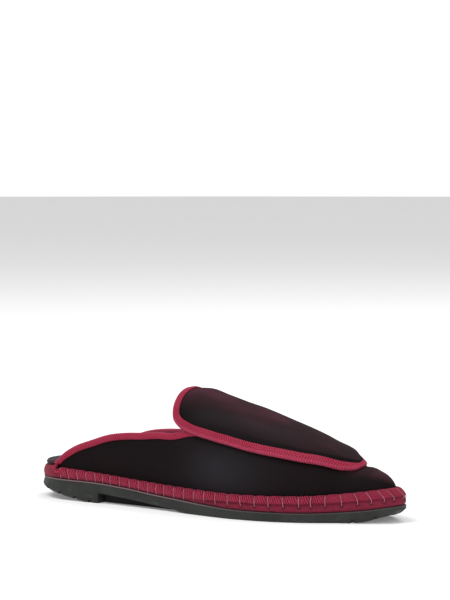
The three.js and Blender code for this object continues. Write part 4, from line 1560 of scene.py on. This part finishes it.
@dataclass(frozen=True)
class Binding:
    """Ribbon folded over an edge and sewn down on both faces."""

    last: Last
    apron_width: float = 4.0
    collar_width: float = 3.5
    thickness: float = 0.6
    crown: float = 0.3
    rows: int = 11

    def profile(self, sheet: float, grow: float) -> Array:
        """Gives the ribbon's section: share of the leaf, reach past the edge, and lift."""
        face = grow > CLEARANCE
        into = np.linspace(1, 0, self.rows)
        crown = self.crown * 4 * into * (1 - into) - 0.35 * (1 - smooth(1 - into, 0, 0.1))
        leaf = np.stack([into, 0 * into, grow + crown * face], 1)
        angle = np.linspace(0, math.pi, 11)[1:-1]
        reach = sheet / 2 + grow
        turn = np.stack([0 * angle, grow * np.sin(angle), -sheet / 2 + reach * np.cos(angle)], 1)
        under = np.stack([into[::-1], 0 * into, np.full(self.rows, -sheet - grow)], 1)
        return np.concatenate([leaf, turn, under])

    def fold(self, edge: Edge) -> Piece:
        """Folds the ribbon over one edge."""
        outside = self.profile(edge.sheet, CLEARANCE + self.thickness)
        behind = self.profile(edge.sheet, CLEARANCE)[::-1]
        inward = edge.inward()
        columns = []
        for into, past, height in np.concatenate([outside, behind]):
            inset = into * edge.leaf - past
            x = edge.x + inward[:, 0] * inset
            across = edge.across + inward[:, 1] * inset
            if height > -edge.sheet / 2:
                held = np.maximum(np.abs(across), edge.kept_out)
                across = np.where(edge.kept_out > 0, np.sign(across) * held, across)
            columns.append(self.last.on_skin(x, across, edge.lift + height))
        points = np.stack(columns, 1)
        run = running(points[:, self.rows])
        into, _, height = np.concatenate([outside, behind]).T
        marks = {
            "along": run[:, None],
            "across": into[None, :] * edge.leaf[:, None],
            # The inner mark lays painted shade on the ribbon's inner face.
            "inner": smooth(-height, edge.sheet / 2, edge.sheet)[None, :],
        }
        faces = grid_faces(len(run), points.shape[1], wrap=True)
        ribbon = Piece(edge.name, points, faces, marks)
        return ribbon.dress(Ribbon(edge.name + "_ribbon").material(), "ribbon", edge.node)

    def apron(self, apron: Apron) -> Piece:
        """Binds the apron all round."""
        x = self.last.apron_stations(110, 210, 60)
        half = self.last.apron_half(x)
        outer, inner = self.last.apron_x(x, -half), self.last.apron_x(x, half)
        around = np.concatenate([outer, inner[-2::-1]])
        edge = Edge(
            "apron_edge",
            "apron_binding",
            around,
            np.concatenate([-half, half[-2::-1]]),
            np.full(len(around), self.apron_width),
            1,
            True,
            apron.lift - apron.sink(around),
            apron.thickness,
            np.zeros(len(around)),
        )
        return self.fold(edge)

    def collar(self, side: Side, wall: float) -> Piece:
        """Binds one quarter's topline, from its back end to under the apron's edge."""
        x = self.last.collar_places(200, 1.5, 60)
        rim = self.last.rim_run(x, side)
        covered = self.last.apron_half(np.maximum(x, self.last.apron_start))
        covered = np.where(x < self.last.apron_start + 1, 0, covered - 0.4)
        shown = rim + self.collar_width > covered
        x, rim, covered = x[shown], rim[shown], covered[shown]
        room = self.last.girth_total(x, side) - rim - 1.4
        name = side.name.lower()
        edge = Edge(
            f"collar_edge_{name}",
            f"collar_binding_{name}",
            x,
            side.value * rim,
            np.minimum(self.collar_width, room * 0.95),
            side.value,
            False,
            np.zeros(len(x)),
            wall,
            covered,
        )
        return self.fold(edge)

    def tail(self, side: Side, band: Band) -> Piece:
        """Rolls the ribbon's rear end down over the band and forward under the first stitch."""
        rows = np.array(TAIL_ROWS)
        fine = np.linspace(0, len(rows) - 1, 40)
        x, part, lift = (np.interp(fine, np.arange(len(rows)), row) for row in rows.T)
        kernel = np.ones(5) / 5
        x, part, lift = (
            np.convolve(np.pad(row, 2, "edge"), kernel, "valid") for row in (x, part, lift)
        )
        low = band.tape_point(x / self.last.sole_length, side.value, part, lift - 0.6)
        rim_x = np.array([20.4, 19.8])
        rim = side.value * (self.last.rim_run(rim_x, side) + np.array([0.3, 1.4]))
        high = self.last.on_skin(rim_x, rim, np.array([0.3, 0.6]))
        line = np.concatenate([high, low])
        roll = tubes(f"collar_tail_{side.name.lower()}", [line], 1.15, 14)
        return roll.dress(Ribbon(f"collar_tail_{side.name.lower()}_ribbon").material(), "ribbon")


@dataclass(frozen=True)
class Studio:
    """White floor, soft lights and the camera of the photograph."""

    eye: tuple[float, float, float] = (0.82986, -1.23424, 0.21705)
    yaw: float = -33.80
    pitch: float = -3.5645
    lens: float = 149.592
    daylight: float = 0.4
    floor_reach: float = 9
    floor_sides: int = 64

    def camera(self) -> None:
        """Places the camera."""
        yaw, pitch = math.radians(self.yaw), math.radians(self.pitch)
        ahead = Vector((
            math.sin(yaw) * math.cos(pitch),
            math.cos(yaw) * math.cos(pitch),
            math.sin(pitch),
        ))
        right = ahead.cross(Vector((0, 0, 1))).normalized()
        above = right.cross(ahead)
        data = bpy.data.cameras.new("camera")
        data.sensor_width = 36
        data.lens = self.lens
        data.clip_start = 0.05
        data.clip_end = 60
        camera = put("camera", data)
        turn = Matrix((right, above, -ahead)).transposed().to_4x4()
        camera.matrix_world = Matrix.Translation(self.eye) @ turn
        bpy.context.scene.camera = camera

    def light(self, name: str, place: Sequence[float], size: float, power: float) -> None:
        """Hangs one square soft light that faces the shoe."""
        data = bpy.data.lights.new(name, "AREA")
        data.shape = "SQUARE"
        data.size = size
        data.energy = power
        lamp = put(name, data)
        lamp.location = place
        lamp.rotation_mode = "QUATERNION"
        lamp.rotation_quaternion = Vector(place).to_track_quat("Z", "Y")

    def build(self) -> None:
        """Makes the floor, the lights and the camera."""
        world = bpy.data.worlds.new("studio")
        world.use_nodes = True
        backdrop = world.node_tree.nodes["Background"]
        backdrop.inputs["Color"].default_value = (1, 1, 1, 1)
        sight = world.node_tree.nodes.new("ShaderNodeLightPath")
        level = world.node_tree.nodes.new("ShaderNodeMapRange")
        level.inputs["To Min"].default_value = self.daylight
        level.inputs["To Max"].default_value = 1.0
        world.node_tree.links.new(sight.outputs["Is Camera Ray"], level.inputs["Value"])
        world.node_tree.links.new(level.outputs["Result"], backdrop.inputs["Strength"])
        bpy.context.scene.world = world
        bpy.context.scene.view_settings.view_transform = "Standard"
        mesh = bpy.data.meshes.new("floor")
        turns = np.linspace(0, 2 * math.pi, self.floor_sides, endpoint=False)
        reach = self.floor_reach
        rim = [(reach * math.cos(turn), reach * math.sin(turn), 0.0) for turn in turns]
        mesh.from_pydata(rim, [], [list(range(self.floor_sides))])
        floor = put("floor", mesh)
        shading = Shading("floor_paper", Roughness=0.9, Specular_IOR_Level=0.1)
        shading.shader.inputs["Emission Strength"].default_value = 1.0
        length = {"operation": "LENGTH"}
        away = shading.node("ShaderNodeVectorMath", length, {0: shading.place()}, "Value")
        glow = shading.blend(away.between(0.25, 1.0), paint(112, 112, 112), paint(150, 150, 150))
        tone = shading.blend(shading.noise(900, 1), paint(243, 243, 243), paint(246, 246, 246))
        mesh.materials.append(shading.dress(Base_Color=tone, Emission_Color=glow))
        self.light("key", (-0.5, -0.9, 1.9), 1.3, 26)
        self.light("fill", (1.4, -0.9, 1.2), 1.0, 8)
        self.light("back", (0.1, 1.2, 1.8), 1.4, 16)
        self.camera()


def main() -> None:
    """Builds the slipper piece by piece, then its studio."""
    logging.basicConfig(level=logging.INFO, format="%(name)s %(message)s")
    last = Last()
    Studio().build()
    Sole(last).build()
    band = Band(last)
    band.cloth()
    band.tape()
    band.threads()
    Footbed(last).build()
    upper = Upper(last)
    upper.build()
    apron = Apron(last)
    apron.build()
    binding = Binding(last)
    binding.apron(apron)
    for side in Side:
        binding.collar(side, upper.wall)
        binding.tail(side, band)


if __name__ == "__main__":
    main()
